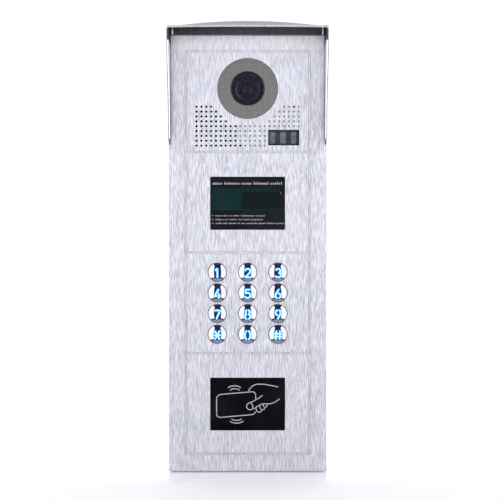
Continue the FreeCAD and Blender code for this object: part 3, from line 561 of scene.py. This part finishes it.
# stencil figures in millimetres about the key's centre: open strokes with gaps, as a cut metal cap needs
FIG = {
    "1": [[(-1.5, 3.0), (-0.2, 4.2), (0.2, 4.2), (0.2, 1.0), (0.2, -4.3)]],
    "2": [arc(0.1, 2.0, 2.7, 2.3, 165, -20, 14) + [(2.2, 0.6), (0.6, -1.3), (-1.2, -3.0), (-2.6, -4.2)], [(-1.2, -4.3), (3.0, -4.3)]],
    "3": [arc(0.1, 2.2, 2.3, 2.1, 150, -60, 12), arc(0.1, -2.0, 2.7, 2.4, 70, -150, 16)],
    "4": [[(1.2, 4.2), (-0.4, 1.6), (-2.5, -2.2), (-0.6, -2.2)], [(1.5, 0.2), (1.5, -4.3)], [(2.6, -2.2), (3.0, -2.2)]],
    "5": [[(2.2, 4.2), (-1.5, 4.2)], [(-2.0, 3.4), (-2.1, 1.0)] , arc(0.0, -1.6, 2.7, 2.7, 130, -150, 18)],
    "6": [[(0.8, 4.3), (-0.7, 2.2), (-1.9, 0.0), (-2.5, -1.8), (-2.2, -3.4), (-1.2, -4.3)], [(0.6, 0.5), (1.9, -0.2), (2.6, -1.9), (2.2, -3.4), (1.2, -4.3)]],
    "7": [[(-2.6, 4.0), (1.2, 4.2), (2.6, 3.6), (1.9, 1.6), (0.6, -1.2), (-0.7, -4.3)]],
    "8": [[(-1.1, 4.2), (-2.0, 3.3), (-2.0, 1.6), (-1.3, 0.3), (-2.4, -1.0), (-2.7, -2.6), (-2.1, -3.8), (-1.1, -4.4)],
          [(1.1, 4.2), (2.0, 3.3), (2.0, 1.6), (1.3, 0.3), (2.4, -1.0), (2.7, -2.6), (2.1, -3.8), (1.1, -4.4)]],
    "9": [[(-0.9, 4.3), (-2.0, 3.3), (-2.5, 1.7), (-2.0, 0.2), (-0.8, -0.6)], [(1.1, 4.3), (2.3, 3.2), (2.5, 1.7), (1.9, -0.2), (0.9, -2.2), (-0.2, -4.3)]],
    "0": [[(-1.2, 4.2), (-2.2, 2.8), (-2.7, 0.6), (-2.6, -1.2), (-2.1, -3.0), (-1.2, -4.3)], [(1.2, 4.2), (2.2, 2.8), (2.7, 0.6), (2.6, -1.2), (2.1, -3.0), (1.2, -4.3)]],
    "star": [[(-2.2, 4.0), (2.2, -4.0)], [(2.2, 4.0), (-2.2, -4.0)], [(-3.3, 0.0), (3.3, 0.0)]],
    "hash": [[(-1.7, 4.0), (-2.0, -4.0)], [(1.9, 4.0), (1.6, -4.0)], [(-3.4, 1.5), (-0.7, 1.5)], [(0.7, 1.5), (3.4, 1.5)], [(-3.4, -1.5), (-0.7, -1.5)], [(0.7, -1.5), (3.4, -1.5)]],
}
lit = glow("figure_light", (0.045, 0.30, 0.86), (0.10, 0.46, 0.95), 1.0)
lit_core = glow("figure_core", (0.26, 0.70, 0.96), (0.42, 0.82, 1.0), 0.95)
# painted shade: a dark metal on each dome's rolled edge and skirt, so the gap round the key reads as a dark outline
rim_shade_mat = steel("key_rim", (0.16, 0.16, 0.18), 0.25)
lit_wall = glow("figure_wall", (0.008, 0.033, 0.150), (0.013, 0.048, 0.215), 0.55)
for k, c, r in KEYS:
    body = "key_%s" % k
    lo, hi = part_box("key_%s_cap" % k)
    cx, cz = (lo.x + hi.x) / 2, (lo.z + hi.z) / 2
    flange_y = hi.y - 1.0 * MM
    # dome, rolled edge, skirt, flange and hollow back
    prof = []
    for i in range(0, 25):
        rr = R_IN * i / 24
        prof.append((rr, dome_y(rr, 0)))
    ey = FRONT_Y - EDGE
    for a in (20, 45, 70, 90):
        prof.append((R_KEY - 0.35 * MM + 0.35 * MM * math.sin(math.radians(a)), ey + 0.5 * MM * (1 - math.cos(math.radians(a)))))
    rf = (hi.x - lo.x) / 2
    prof += [(R_KEY, flange_y - 0.15 * MM), (R_KEY + 0.1 * MM, flange_y), (rf - 0.1 * MM, flange_y), (rf, flange_y + 0.1 * MM), (rf, hi.y - 0.1 * MM), (rf - 0.1 * MM, hi.y),
             (R_KEY - 1.0 * MM, hi.y), (R_KEY - 1.0 * MM, FRONT_Y + 0.4 * MM), (0, FRONT_Y - EDGE - 0.9 * MM)]
    cap = lathe("key_%s_dome" % k, prof, cx, cz, MATS["key_chrome"], body, 128, 40)
    cap.data.materials.append(rim_shade_mat)
    for poly in cap.data.polygons:
        rr = math.hypot(poly.center.x - cx, poly.center.z - cz)
        if rr > R_KEY - 0.36 * MM and poly.center.y < FRONT_Y + 0.2 * MM:
            poly.material_index = 1
    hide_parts("key_%s_cap" % k)

    def put(u, v, lift, cx=cx, cz=cz):
        return (cx + u, dome_y(u, v) - lift, cz + v)

    paths = []
    for p in FIG[k]:
        q = [(u * MM * 0.88, (v * 0.88 - 0.7) * MM) for u, v in p]
        if len(q) > 10:
            paths.append(q)
        elif len(q) == 2:
            paths.append([(q[0][0] + (q[1][0] - q[0][0]) * t / 8, q[0][1] + (q[1][1] - q[0][1]) * t / 8) for t in range(9)])
        else:
            paths.append(smooth_path(q, step=4))
    wide_paths = [[(u * 0.80, v) for u, v in q] for q in paths]
    strokes("key_%s_slot_walls" % k, wide_paths, 3.20 * MM, put, 0.115 * MM, -0.25 * MM, lit_wall, body)
    strokes("key_%s_figure" % k, paths, 1.50 * MM, put, 0.160 * MM, -0.25 * MM, lit, body)
    strokes("key_%s_figure_core" % k, paths, 0.85 * MM, put, 0.175 * MM, -0.25 * MM, lit_core, body)

# ---------------------------------------------------------------- camera
lo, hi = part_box("camera_ring")
ccx, ccz = (lo.x + hi.x) / 2, (lo.z + hi.z) / 2
ring_front = lo.y
R_OUT, R_HOLE = (hi.x - lo.x) / 2, 15.1 * MM
wires_mat = painted("ring_wire", (0.27, 0.273, 0.262), 2400, 0.2, 0.45)
verts, faces = [], []


def flat(u, v, lift):
    return (ccx + u, ring_front - lift, ccz + v)


pitch = 1.55 * MM
w_wire = 0.42 * MM
for direction in (45, -45):
    ca, sa = math.cos(math.radians(direction)), math.sin(math.radians(direction))
    k = -int(R_OUT / pitch) - 1
    while k * pitch < R_OUT:
        off = (k + 0.5) * pitch
        k += 1
        ro, ri = R_OUT - 0.5 * MM, R_HOLE + 0.45 * MM
        if abs(off) >= ro:
            continue
        half = math.sqrt(ro * ro - off * off)
        spans = [(-half, half)]
        if abs(off) < ri:
            q = math.sqrt(ri * ri - off * off)
            spans = [(-half, -q), (q, half)]
        for a, b in spans:
            if b - a < 1 * MM:
                continue
            seg = max(2, int((b - a) / (2 * MM)))
            pts = [(ca * (a + (b - a) * t / seg) - sa * off, sa * (a + (b - a) * t / seg) + ca * off) for t in range(seg + 1)]
            lift = 0.10 * MM if direction > 0 else 0.07 * MM
            stroke(verts, faces, pts, w_wire, flat, lift, -0.05 * MM)
sharp(make("camera_ring_wires", verts, faces, wires_mat, "housing"), 50)

# smoked window over the lens
wlo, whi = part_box("camera_window")
rw = 15.0 * MM
wf = wlo.y
prof = [(0, wf)] + [(rw * t / 12, wf + (0.2 * MM) * (t / 12) ** 2) for t in range(1, 12)]
prof += [(rw - 0.5 * MM, wf + 0.22 * MM), (rw - 0.12 * MM, wf + 0.40 * MM), (rw, wf + 0.75 * MM), (rw, FRONT_Y + 1.2 * MM),
         ((whi.x - wlo.x) / 2, FRONT_Y + 1.2 * MM), ((whi.x - wlo.x) / 2, whi.y), (0, whi.y)]
win = lathe("camera_window_disc", prof, ccx, ccz, MATS["smoked_window"], "housing", 128, 30)
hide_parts("camera_window")

# lens barrel: stepped black rings round a coated front element
blo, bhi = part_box("camera_barrel")
bf = blo.y
ring_gloss = painted("lens_ring_black", (0.026, 0.027, 0.034), 1600, 0.03, 0.40)
# painted highlight: pale crescents on the ring's shoulder, strong on the left and faint on the right
sh = Mat("lens_ring_shoulder", (0.03, 0.03, 0.036), 0.0, 0.35)
sdx, sdz = sh.math("SUBTRACT", axis_of(sh, "X"), ccx), sh.math("SUBTRACT", axis_of(sh, "Z"), ccz)
srad = sh.math("SQRT", sh.math("ADD", sh.math("MULTIPLY", sdx, sdx), sh.math("MULTIPLY", sdz, sdz)))
turn_ = sh.math("DIVIDE", sdx, srad)
left_ = sh.remap(turn_, -0.42, -0.88, smooth=True)
right_ = sh.math("MULTIPLY", sh.remap(turn_, 0.55, 0.92, smooth=True), 0.38)
crest = sh.remap(sh.math("ABSOLUTE", sh.math("SUBTRACT", srad, 0.01065)), 0.00025, 0.00075, 1.0, 0.0, smooth=True)
crescent_highlight = sh.math("MULTIPLY", crest, sh.math("MAXIMUM", left_, right_))
sh.set("Base Color", sh.mix(crescent_highlight, (0.026, 0.027, 0.034), (0.85, 0.88, 1.0)))
ring_shoulder = sh.m
prof = [(11.75, 1.2), (11.72, 0.95), (11.62, 0.78), (11.40, 0.60), (11.15, 0.46), (10.9, 0.34), (10.65, 0.245), (10.4, 0.170), (10.15, 0.120), (9.95, 0.10), (9.80, 0.20), (9.70, 0.60), (9.60, 1.30),
        (9.3, 1.42), (9.0, 1.50), (8.7, 1.60), (8.55, 1.9), (8.4, 2.3), (8.1, 2.40), (7.85, 2.48), (7.6, 2.60), (7.45, 3.0), (7.2, 3.35), (7.15, 4.2), (7.15, 6.9), (11.0, 6.9), (11.75, 6.0)]
prof = [(r * MM, bf + y * MM) for r, y in prof]
trim = lathe("lens_trim_rings", prof, ccx, ccz, ring_gloss, "camera_module", 160, 40)
trim.data.materials.append(ring_shoulder)
for poly in trim.data.polygons:
    rr = math.hypot(poly.center.x - ccx, poly.center.z - ccz)
    if rr > 9.9 * MM and poly.center.y < bf + 1.0 * MM:
        poly.material_index = 1
llo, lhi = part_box("camera_lens")
lr = 7.1 * MM
prof = [(lr * t / 20, llo.y + 2.9 * MM * (t / 20) ** 2) for t in range(21)] + [(lr, llo.y + 4.4 * MM), (0, llo.y + 4.4 * MM)]
gl = Mat("lens_front_glass", (0.020, 0.015, 0.050), 0.0, 0.03)
gl.b.inputs["Coat Weight"].default_value = 1.0
gl.b.inputs["Coat Roughness"].default_value = 0.02
gl.b.inputs["Specular IOR Level"].default_value = 0.8
# what shows through the glass: a violet pupil in dark rings, drawn by the distance from the axis
xa, za = axis_of(gl, "X"), axis_of(gl, "Z")
dx, dz = gl.math("SUBTRACT", xa, ccx), gl.math("SUBTRACT", za, ccz)
rad = gl.math("SQRT", gl.math("ADD", gl.math("MULTIPLY", dx, dx), gl.math("MULTIPLY", dz, dz)))
ramp = gl.n("ShaderNodeValToRGB")
gl.link(gl.math("MULTIPLY", rad, 1 / lr), ramp.inputs["Fac"])
e = ramp.color_ramp.elements
e[0].position, e[0].color = 0.0, (0.050, 0.034, 0.140, 1)
e[1].position, e[1].color = 1.0, (0.020, 0.022, 0.030, 1)
for pos, c in ((0.16, (0.042, 0.028, 0.125, 1)), (0.24, (0.020, 0.018, 0.040, 1)), (0.42, (0.030, 0.030, 0.050, 1)), (0.50, (0.012, 0.013, 0.020, 1)), (0.72, (0.020, 0.022, 0.030, 1)),
               (0.80, (0.036, 0.040, 0.048, 1)), (0.86, (0.014, 0.016, 0.022, 1))):
    x_ = ramp.color_ramp.elements.new(pos)
    x_.color = c
hz = gl.noise((90, 90, 90), 2, 0.5)
gl.set("Base Color", gl.mix(gl.remap(hz, 0.3, 0.7, 0.0, 0.35), ramp.outputs["Color"], (0.012, 0.010, 0.030)))
lens = lathe("lens_front_element", prof, ccx, ccz, gl.m, "camera_module", 128, 40)
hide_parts("camera_lens")

# ---------------------------------------------------------------- windows


def rounded_slab(name, x0, x1, z0, z1, y0, y1, rad, bevel, mat, body="housing", seg=8):
    """Polished slab with rounded corners and a small bevel round its front."""
    def loop(inset, y):
        pts = []
        for cx, cz, a0 in ((x1 - rad, z1 - rad, 0), (x0 + rad, z1 - rad, 90), (x0 + rad, z0 + rad, 180), (x1 - rad, z0 + rad, 270)):
            for i in range(seg + 1):
                a = math.radians(a0 + 90 * i / seg)
                pts.append((cx + (rad - inset) * math.cos(a), y, cz + (rad - inset) * math.sin(a)))
        return pts
    rings = [loop(bevel, y0), loop(bevel * 0.3, y0 + bevel * 0.3), loop(0, y0 + bevel), loop(0, y1)]
    verts = [p for l in rings for p in l]
    n = len(rings[0])
    faces = [tuple(range(n)), tuple(reversed(range(3 * n, 4 * n)))]
    for k in range(3):
        for i in range(n):
            j = (i + 1) % n
            faces.append((k * n + i, (k + 1) * n + i, (k + 1) * n + j, k * n + j))
    return sharp(make(name, verts, faces, mat, body), 12)


def inset(node):
    lo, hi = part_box(node)
    return lo, hi


lo, hi = inset("display_window")
dw = rounded_slab("display_window_glass", lo.x, hi.x, lo.z, hi.z, lo.y, hi.y, 1.7 * MM, 0.10 * MM, MATS["black_glass"])
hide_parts("display_window")
d_front, dz0, dz1, dx0 = lo.y, lo.z, hi.z, lo.x
lo, hi = inset("card_window")
card_black = gloss("card_glass", (0.0022, 0.0022, 0.0034), 0.05, 0.0, 0.22)
cwn = rounded_slab("card_window_glass", lo.x, hi.x, lo.z, hi.z, lo.y, hi.y, 1.7 * MM, 0.10 * MM, card_black)
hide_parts("card_window")
c_front, c_cx, c_cz = lo.y, (lo.x + hi.x) / 2, (lo.z + hi.z) / 2

# liquid crystal area behind the glass, drawn as a thin lit pane on it
lcd = Mat("lcd_pane", (0.008, 0.036, 0.034), 0.0, 0.09)
lcd.b.inputs["Specular IOR Level"].default_value = 0.5
x = axis_of(lcd, "X")
pix = lcd.n("ShaderNodeTexBrick")
pix.offset = 0.0
pix.inputs["Scale"].default_value = 1.0
pix.inputs["Mortar Size"].default_value = 0.08
pix.inputs["Brick Width"].default_value = 0.5
pix.inputs["Row Height"].default_value = 0.5
pix.inputs["Color1"].default_value = (1, 1, 1, 1)
pix.inputs["Color2"].default_value = (0.92, 0.92, 0.92, 1)
pix.inputs["Mortar"].default_value = (0.55, 0.55, 0.55, 1)
lcd.link(lcd.coords((1000, 1000, 1000), rot=(math.radians(90), 0, 0)), pix.inputs["Vector"])
cl = lcd.noise((60, 60, 60), 3, 0.5)
z = axis_of(lcd, "Z")
base = lcd.mix(lcd.remap(cl, 0.3, 0.7), (0.0062, 0.0245, 0.0232), (0.0074, 0.0290, 0.0272))
far = lcd.math("MULTIPLY", lcd.remap(lcd.math("ADD", x, lcd.math("MULTIPLY", z, -0.12)), -0.0140, -0.0075, smooth=True), lcd.remap(x, 0.0300, 0.0306, 1.0, 0.0))
far = lcd.math("MULTIPLY", far, lcd.math("MULTIPLY", lcd.remap(z, 0.0388, 0.0396), lcd.remap(z, 0.0542, 0.0552, 1.0, 0.0)))
base = lcd.mix(far, base, (0.0068, 0.0126, 0.0124))
lcd.set("Base Color", lcd.mix(1.0, base, pix.outputs["Color"], "MULTIPLY"))
lz0, lz1 = 0.0380, 0.0574
lx0, lx1 = -0.0316, 0.0289
rounded_slab("lcd_view_area", lx0, lx1, lz0, lz1, d_front - 0.03 * MM, d_front + 0.4 * MM, 0.35 * MM, 0.02 * MM, lcd.m)

# printed marks: plain dashes in place of any wording
ink = painted("window_ink", (0.34, 0.345, 0.385), 2400, 0.1, 0.5)
mark_ink = painted("mark_ink", (0.66, 0.66, 0.70), 2400, 0.1, 0.5)


def on_display(u, v, lift):
    return (u, d_front - lift, v)


_seed = [12345]


def rnd():
    _seed[0] = (_seed[0] * 1103515245 + 12345) % (2 ** 31)
    return _seed[0] / 2 ** 31


def marks_row(z, x0, x1, words, h, w, pitch):
    """A row of small upright and level marks in groups, in place of any wording."""
    out = []
    total = sum(words) + 0.8 * (len(words) - 1)
    step = (x1 - x0) / total
    x = x0
    for n_ in words:
        for i in range(n_):
            cx_ = x + step * 0.5
            q = rnd()
            tall = h * (1.0 if rnd() > 0.72 or i == 0 else 0.68)
            base_z = z - h / 2
            if q < 0.40:
                out.append({"p": [(cx_, base_z + w / 2), (cx_, base_z + tall / 2), (cx_, base_z + tall - w / 2)], "w": w})
            elif q < 0.75:
                out.append({"p": arc(cx_, base_z + h * 0.34, step * 0.24, h * 0.26, 40, 320, 8), "w": w * 0.9})
            else:
                out.append({"p": [(cx_ - step * 0.25, base_z + h * 0.34), (cx_, base_z + h * 0.36), (cx_ + step * 0.25, base_z + h * 0.34)], "w": w})
                out.append({"p": [(cx_, base_z + w / 2), (cx_, base_z + tall * 0.5), (cx_, base_z + tall - w / 2)], "w": w * 0.9})
            x += step
        x += 0.8 * step
    return out


marks = marks_row(0.0622, -0.0312, 0.0310, (5, 8, 5, 8, 6), 2.5 * MM, 0.42 * MM, 1.7)
for z, xe, words in ((0.0334, 0.0154, (5, 3, 2, 4, 10, 6)), (0.0300, 0.0137, (5, 1, 2, 6, 3, 5, 9)), (0.0266, 0.0323, (5, 3, 6, 2, 3, 8, 5, 13))):
    marks.append({"p": arc(-0.0312, z, 0.18 * MM, 0.18 * MM, 0, 345, 12), "w": 0.36 * MM, "closed": False})
    marks += marks_row(z, -0.0288, xe, words, 1.45 * MM, 0.27 * MM, 1.2)
strokes("display_marks", marks, 1 * MM, on_display, 0.04 * MM, -0.1 * MM, mark_ink, "housing")
strokes("display_spot", [[(0.02935, 0.0532), (0.0295, 0.0535)]], 0.6 * MM, on_display, 0.04 * MM, -0.1 * MM, ink, "housing")

# card pictogram: a tilted blank card, two pairs of arcs and a simple hand
PU = 0.04825 * MM * 1.0


def on_card(u, v, lift):
    return (c_cx + u, c_front - lift, c_cz + v)


def P(px, py):
    return ((px - 787) * PU, (628 - py) * PU)


tilt = math.radians(5.0)


def cardpt(u, v):
    u0, v0 = P(575, 637)
    return (u0 + u, v0 + v + u * math.tan(tilt))


cw_, ch_, cr = 17.4 * MM, 10.2 * MM, 3.6 * MM
outline = []
for sx, sy, a0 in ((1, 1, 0), (-1, 1, 90), (-1, -1, 180), (1, -1, 270)):
    for i in range(9):
        a = math.radians(a0 + 90 * i / 8)
        outline.append(cardpt(sx * (cw_ - cr) + cr * math.cos(a), sy * (ch_ - cr) + cr * math.sin(a)))
# the card's edge is broken where the hand crosses it
right = [p for p in outline]
pict = [{"p": [outline[k % 36] for k in range(3, 32)], "w": 0.85 * MM}]
pict.append({"p": smooth_path([cardpt(cw_, ch_ - cr), cardpt(cw_, 3.2 * MM)]), "w": 0.85 * MM})
pict[0]["p"] = [outline[k] for k in range(0, 34)]
for pts in (
    [(430, 326), (475, 300), (545, 292), (615, 300), (660, 326)],
    [(467, 374), (500, 352), (547, 345), (600, 350), (630, 366)],
    [(497, 908), (545, 926), (590, 930), (632, 922), (668, 902)],
    [(466, 948), (520, 972), (585, 980), (650, 970), (702, 944)],
    [(806, 380), (850, 318), (905, 280), (970, 262), (1090, 264), (1210, 284), (1340, 308)],          # back of the hand
    [(1056, 470), (1000, 512), (940, 548), (880, 582), (820, 604), (778, 640), (770, 690), (806, 728), (860, 728), (925, 700), (1000, 652), (1075, 622), (1160, 626), (1240, 612), (1310, 580), (1372, 536)],
    [(838, 606), (872, 640), (884, 690), (872, 722)],                                              # thumb nail
    [(940, 700), (950, 745), (985, 776), (1030, 768), (1052, 735)],                                # fingertips
    [(1010, 664), (1020, 700), (1052, 735), (1090, 722), (1106, 690)],
    [(1070, 634), (1082, 664), (1106, 690), (1138, 668), (1150, 636)],
):
    pict.append({"p": smooth_path([P(*q) for q in pts], step=5), "w": 0.85 * MM})
strokes("card_pictogram", pict, 0.85 * MM, on_card, 0.04 * MM, -0.1 * MM, ink, "housing")

# lamp window: a tinted pane
lo, hi = inset("lamp_window")
teal = smoked("lamp_tint", (0.100, 0.118, 0.142), (0.84, 0.87, 0.88), 0.03)
lw = rounded_slab("lamp_window_pane", lo.x, hi.x, lo.z, hi.z, lo.y, hi.y, 0.7 * MM, 0.2 * MM, teal)
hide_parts("lamp_window")

# moulded reflector cups behind the lamps, one for each upright pair
cup = gloss("lamp_cup", (0.32, 0.265, 0.30), 0.25, 0.2)
llo2, lhi2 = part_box("lamp_leds")
for i, fx in enumerate((0.1, 0.5, 0.9)):
    px_ = llo2.x + (lhi2.x - llo2.x) * (0.0 if i == 0 else 0.5 if i == 1 else 1.0)
    px_ = px_ + (1.7 * MM if i == 0 else -2.9 * MM if i == 2 else -0.5 * MM)
    rounded_slab("lamp_cup_%d" % (i + 1), px_ - 2.55 * MM, px_ + 2.55 * MM, llo2.z + 0.1 * MM, lhi2.z + 0.1 * MM, llo2.y + 1.4 * MM, lhi2.y - 0.6 * MM, 1.5 * MM, 0.3 * MM, cup)

# ---------------------------------------------------------------- hood corner tabs
tab_mat = painted("hood_tab_metal", (0.85, 0.85, 0.87), 900, 0.1, 0.35, metallic=0.3)
for name, sx in (("hood_tab_left", -1), ("hood_tab_right", 1)):
    # a folded tab under each front corner of the roof, with a small return flange
    xa, xb = 65.35 * MM, 66.25 * MM
    loop = [(-72.5, 198.2), (-72.5, 191.9), (-72.0, 191.4), (-66.5, 191.4), (-66.0, 191.9), (-66.0, 199.0)]
    verts, faces = [], []
    for x_ in (xa, xb):
        for y_, z_ in loop:
            verts.append((sx * x_, y_ * MM, z_ * MM))
    m = len(loop)
    faces = [tuple(range(m)), tuple(reversed(range(m, 2 * m)))] + [(i, (i + 1) % m, m + (i + 1) % m, m + i) for i in range(m)]
    tab = sharp(make(name, verts, faces, tab_mat, "housing"), 30)
    bv = tab.modifiers.new("soft_edges", "BEVEL")
    bv.width, bv.segments = 0.15 * MM, 2

# ---------------------------------------------------------------- stage, lights, camera
floor_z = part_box("front_panel")[0].z - 0.8 * MM
me = bpy.data.meshes.new("studio_floor")
N = 24
prof = [(-4.0, floor_z), (0.0, floor_z), (4.0, floor_z), (40.0, floor_z)]
verts = [(x, y, z) for x in (-12.0, 12.0) for y, z in prof]
n = len(prof)
faces = [(i, i + 1, n + i + 1, n + i) for i in range(n - 1)]
me.from_pydata(verts, [], faces)
floor = bpy.data.objects.new("studio_floor", me)
scene.collection.objects.link(floor)
for p in me.polygons:
    p.use_smooth = True
fm = Mat("studio_white", (0.92, 0.92, 0.92), 0.0, 0.12)
fn = fm.noise((3, 3, 3), 2, 0.5)
fm.set("Base Color", fm.mix(fm.remap(fn, 0.3, 0.7), (0.91, 0.91, 0.915), (0.93, 0.93, 0.93)))
fm.b.inputs["Specular IOR Level"].default_value = 0.5
fy = axis_of(fm, "Y")
fm.set("Roughness", fm.remap(fy, FRONT_Y - 0.115, FRONT_Y - 0.012, 0.62, 0.07, smooth=True))
foot = fm.remap(fy, -0.62, -0.34, smooth=True)
fm.set("Specular IOR Level", fm.math("MULTIPLY", foot, 0.5))
# the floor glows: painted light, weaker near the panel's foot, where the floor is polished and more reflective
fm.set("Emission Strength", fm.remap(foot, 0.0, 1.0, 0.30, 0.11))
fm.b.inputs["Emission Color"].default_value = (1, 1, 1, 1)
me.materials.append(fm.m)
floor.visible_glossy = False

world = bpy.data.worlds.new("studio") if scene.world is None else scene.world
scene.world = world
world.use_nodes = True
wn = world.node_tree
for nd in list(wn.nodes):
    wn.nodes.remove(nd)
wo = wn.nodes.new("ShaderNodeOutputWorld")
wn_link = wn.links.new


def wnode(kind, **kw):
    o = wn.nodes.new(kind)
    for k_, v_ in kw.items():
        setattr(o, k_, v_)
    return o


def wmap(sock, lo_, hi_, a_=0.0, b_=1.0):
    r_ = wnode("ShaderNodeMapRange", interpolation_type="SMOOTHSTEP")
    for k_, v_ in (("From Min", lo_), ("From Max", hi_), ("To Min", a_), ("To Max", b_)):
        r_.inputs[k_].default_value = v_
    wn_link(sock, r_.inputs["Value"])
    return r_.outputs["Result"]


def wmix(f_, a_, b_):
    m_ = wnode("ShaderNodeMix", data_type="RGBA")
    wn_link(f_, m_.inputs[0])
    for i_, v_ in ((6, a_), (7, b_)):
        if isinstance(v_, tuple):
            m_.inputs[i_].default_value = (*v_, 1)
        else:
            wn_link(v_, m_.inputs[i_])
    return m_.outputs[2]


# the room: dark in front of the panel, pale behind it and above, pale table below
tc = wnode("ShaderNodeTexCoord")
sep = wnode("ShaderNodeSeparateXYZ")
wn_link(tc.outputs["Generated"], sep.inputs["Vector"])
room = wmix(wmap(sep.outputs["Y"], -0.35, 0.10), (0.018, 0.022, 0.066), (0.46, 0.46, 0.50))
room = wmix(wmap(sep.outputs["Y"], 0.80, 0.95), room, (1.15, 1.15, 1.18))
room = wmix(wmap(sep.outputs["Z"], -0.62, -0.78), room, (0.34, 0.34, 0.37))
room = wmix(wmap(sep.outputs["Z"], 0.80, 0.97), room, (0.30, 0.30, 0.34))


def wmath(op, a_, b_=None):
    m_ = wnode("ShaderNodeMath", operation=op)
    for i_, v_ in enumerate((a_, b_)):
        if v_ is None:
            continue
        if isinstance(v_, (int, float)):
            m_.inputs[i_].default_value = v_
        else:
            wn_link(v_, m_.inputs[i_])
    return m_.outputs["Value"]


half = wmath("SQRT", wmath("MULTIPLY", wmath("SUBTRACT", 1.0, sep.outputs["Y"]), 0.5))
off_axis = wmath("DIVIDE", wmath("ABSOLUTE", sep.outputs["X"]), wmath("MULTIPLY", half, 2.0))
upper_side = wmath("MULTIPLY", wmap(off_axis, 0.205, 0.235), wmap(sep.outputs["Z"], 0.64, 0.70))
upper_side = wmath("MULTIPLY", upper_side, wmap(sep.outputs["Y"], -0.20, -0.30))
room = wmix(upper_side, room, (0.90, 0.89, 0.88))
bg_room = wnode("ShaderNodeBackground")
bg_room.inputs["Strength"].default_value = 1.0
wn_link(room, bg_room.inputs["Color"])
bg_cam = wnode("ShaderNodeBackground")
bg_cam.inputs["Color"].default_value = (1, 1, 1, 1)
bg_cam.inputs["Strength"].default_value = 1.05
lp = wnode("ShaderNodeLightPath")
mixw = wnode("ShaderNodeMixShader")
wn_link(lp.outputs["Is Camera Ray"], mixw.inputs["Fac"])
wn_link(bg_room.outputs["Background"], mixw.inputs[1])
wn_link(bg_cam.outputs["Background"], mixw.inputs[2])
wn_link(mixw.outputs["Shader"], wo.inputs["Surface"])


def softbox(name, at, target, w, h, power, color=(1, 1, 1), cam=False):
    li = bpy.data.lights.new(name, "AREA")
    li.shape = "RECTANGLE"
    li.size, li.size_y = w, h
    li.energy = power
    li.color = color
    ob = bpy.data.objects.new(name, li)
    ob.location = at
    ob.rotation_euler = (Vector(target) - Vector(at)).to_track_quat("-Z", "Y").to_euler()
    scene.collection.objects.link(ob)
    ob.visible_camera = cam
    return ob


for sx, tag in ((-1, "left"), (1, "right")):
    az, dist = math.radians(48), 1.3
    softbox("soft_" + tag, (sx * dist * math.sin(az), FRONT_Y - dist * math.cos(az), 0.16), (0, FRONT_Y, 0.16), 1.05, 2.3, 8.3 if sx < 0 else 7.9)
fill = softbox("soft_front", (0, -3.2, 0.0), (0, 0, 0.0), 1.6, 1.6, 100)
fill.visible_glossy = False
softbox("soft_top", (0, -0.1, 1.7), (0, 0.0, 0), 2.6, 1.6, 12)
softbox("soft_back", (0, 1.3, 1.5), (0, 0.3, 0.0), 3.0, 1.2, 14)

cam = bpy.data.cameras.new("view_camera")
cam_ob = bpy.data.objects.new("view_camera", cam)
scene.collection.objects.link(cam_ob)
cam_ob.location = (0.0021, FRONT_Y - 1.4, 0.0028)
cam_ob.rotation_euler = (math.radians(90), 0, 0)
cam.sensor_width = 36.0
cam.lens = 36.0 * 1400.0 / 445.0
cam.clip_start, cam.clip_end = 0.05, 30
scene.camera = cam_ob
scene.view_settings.view_transform = "Standard"
scene.view_settings.look = "None"
scene.view_settings.exposure = 0.0
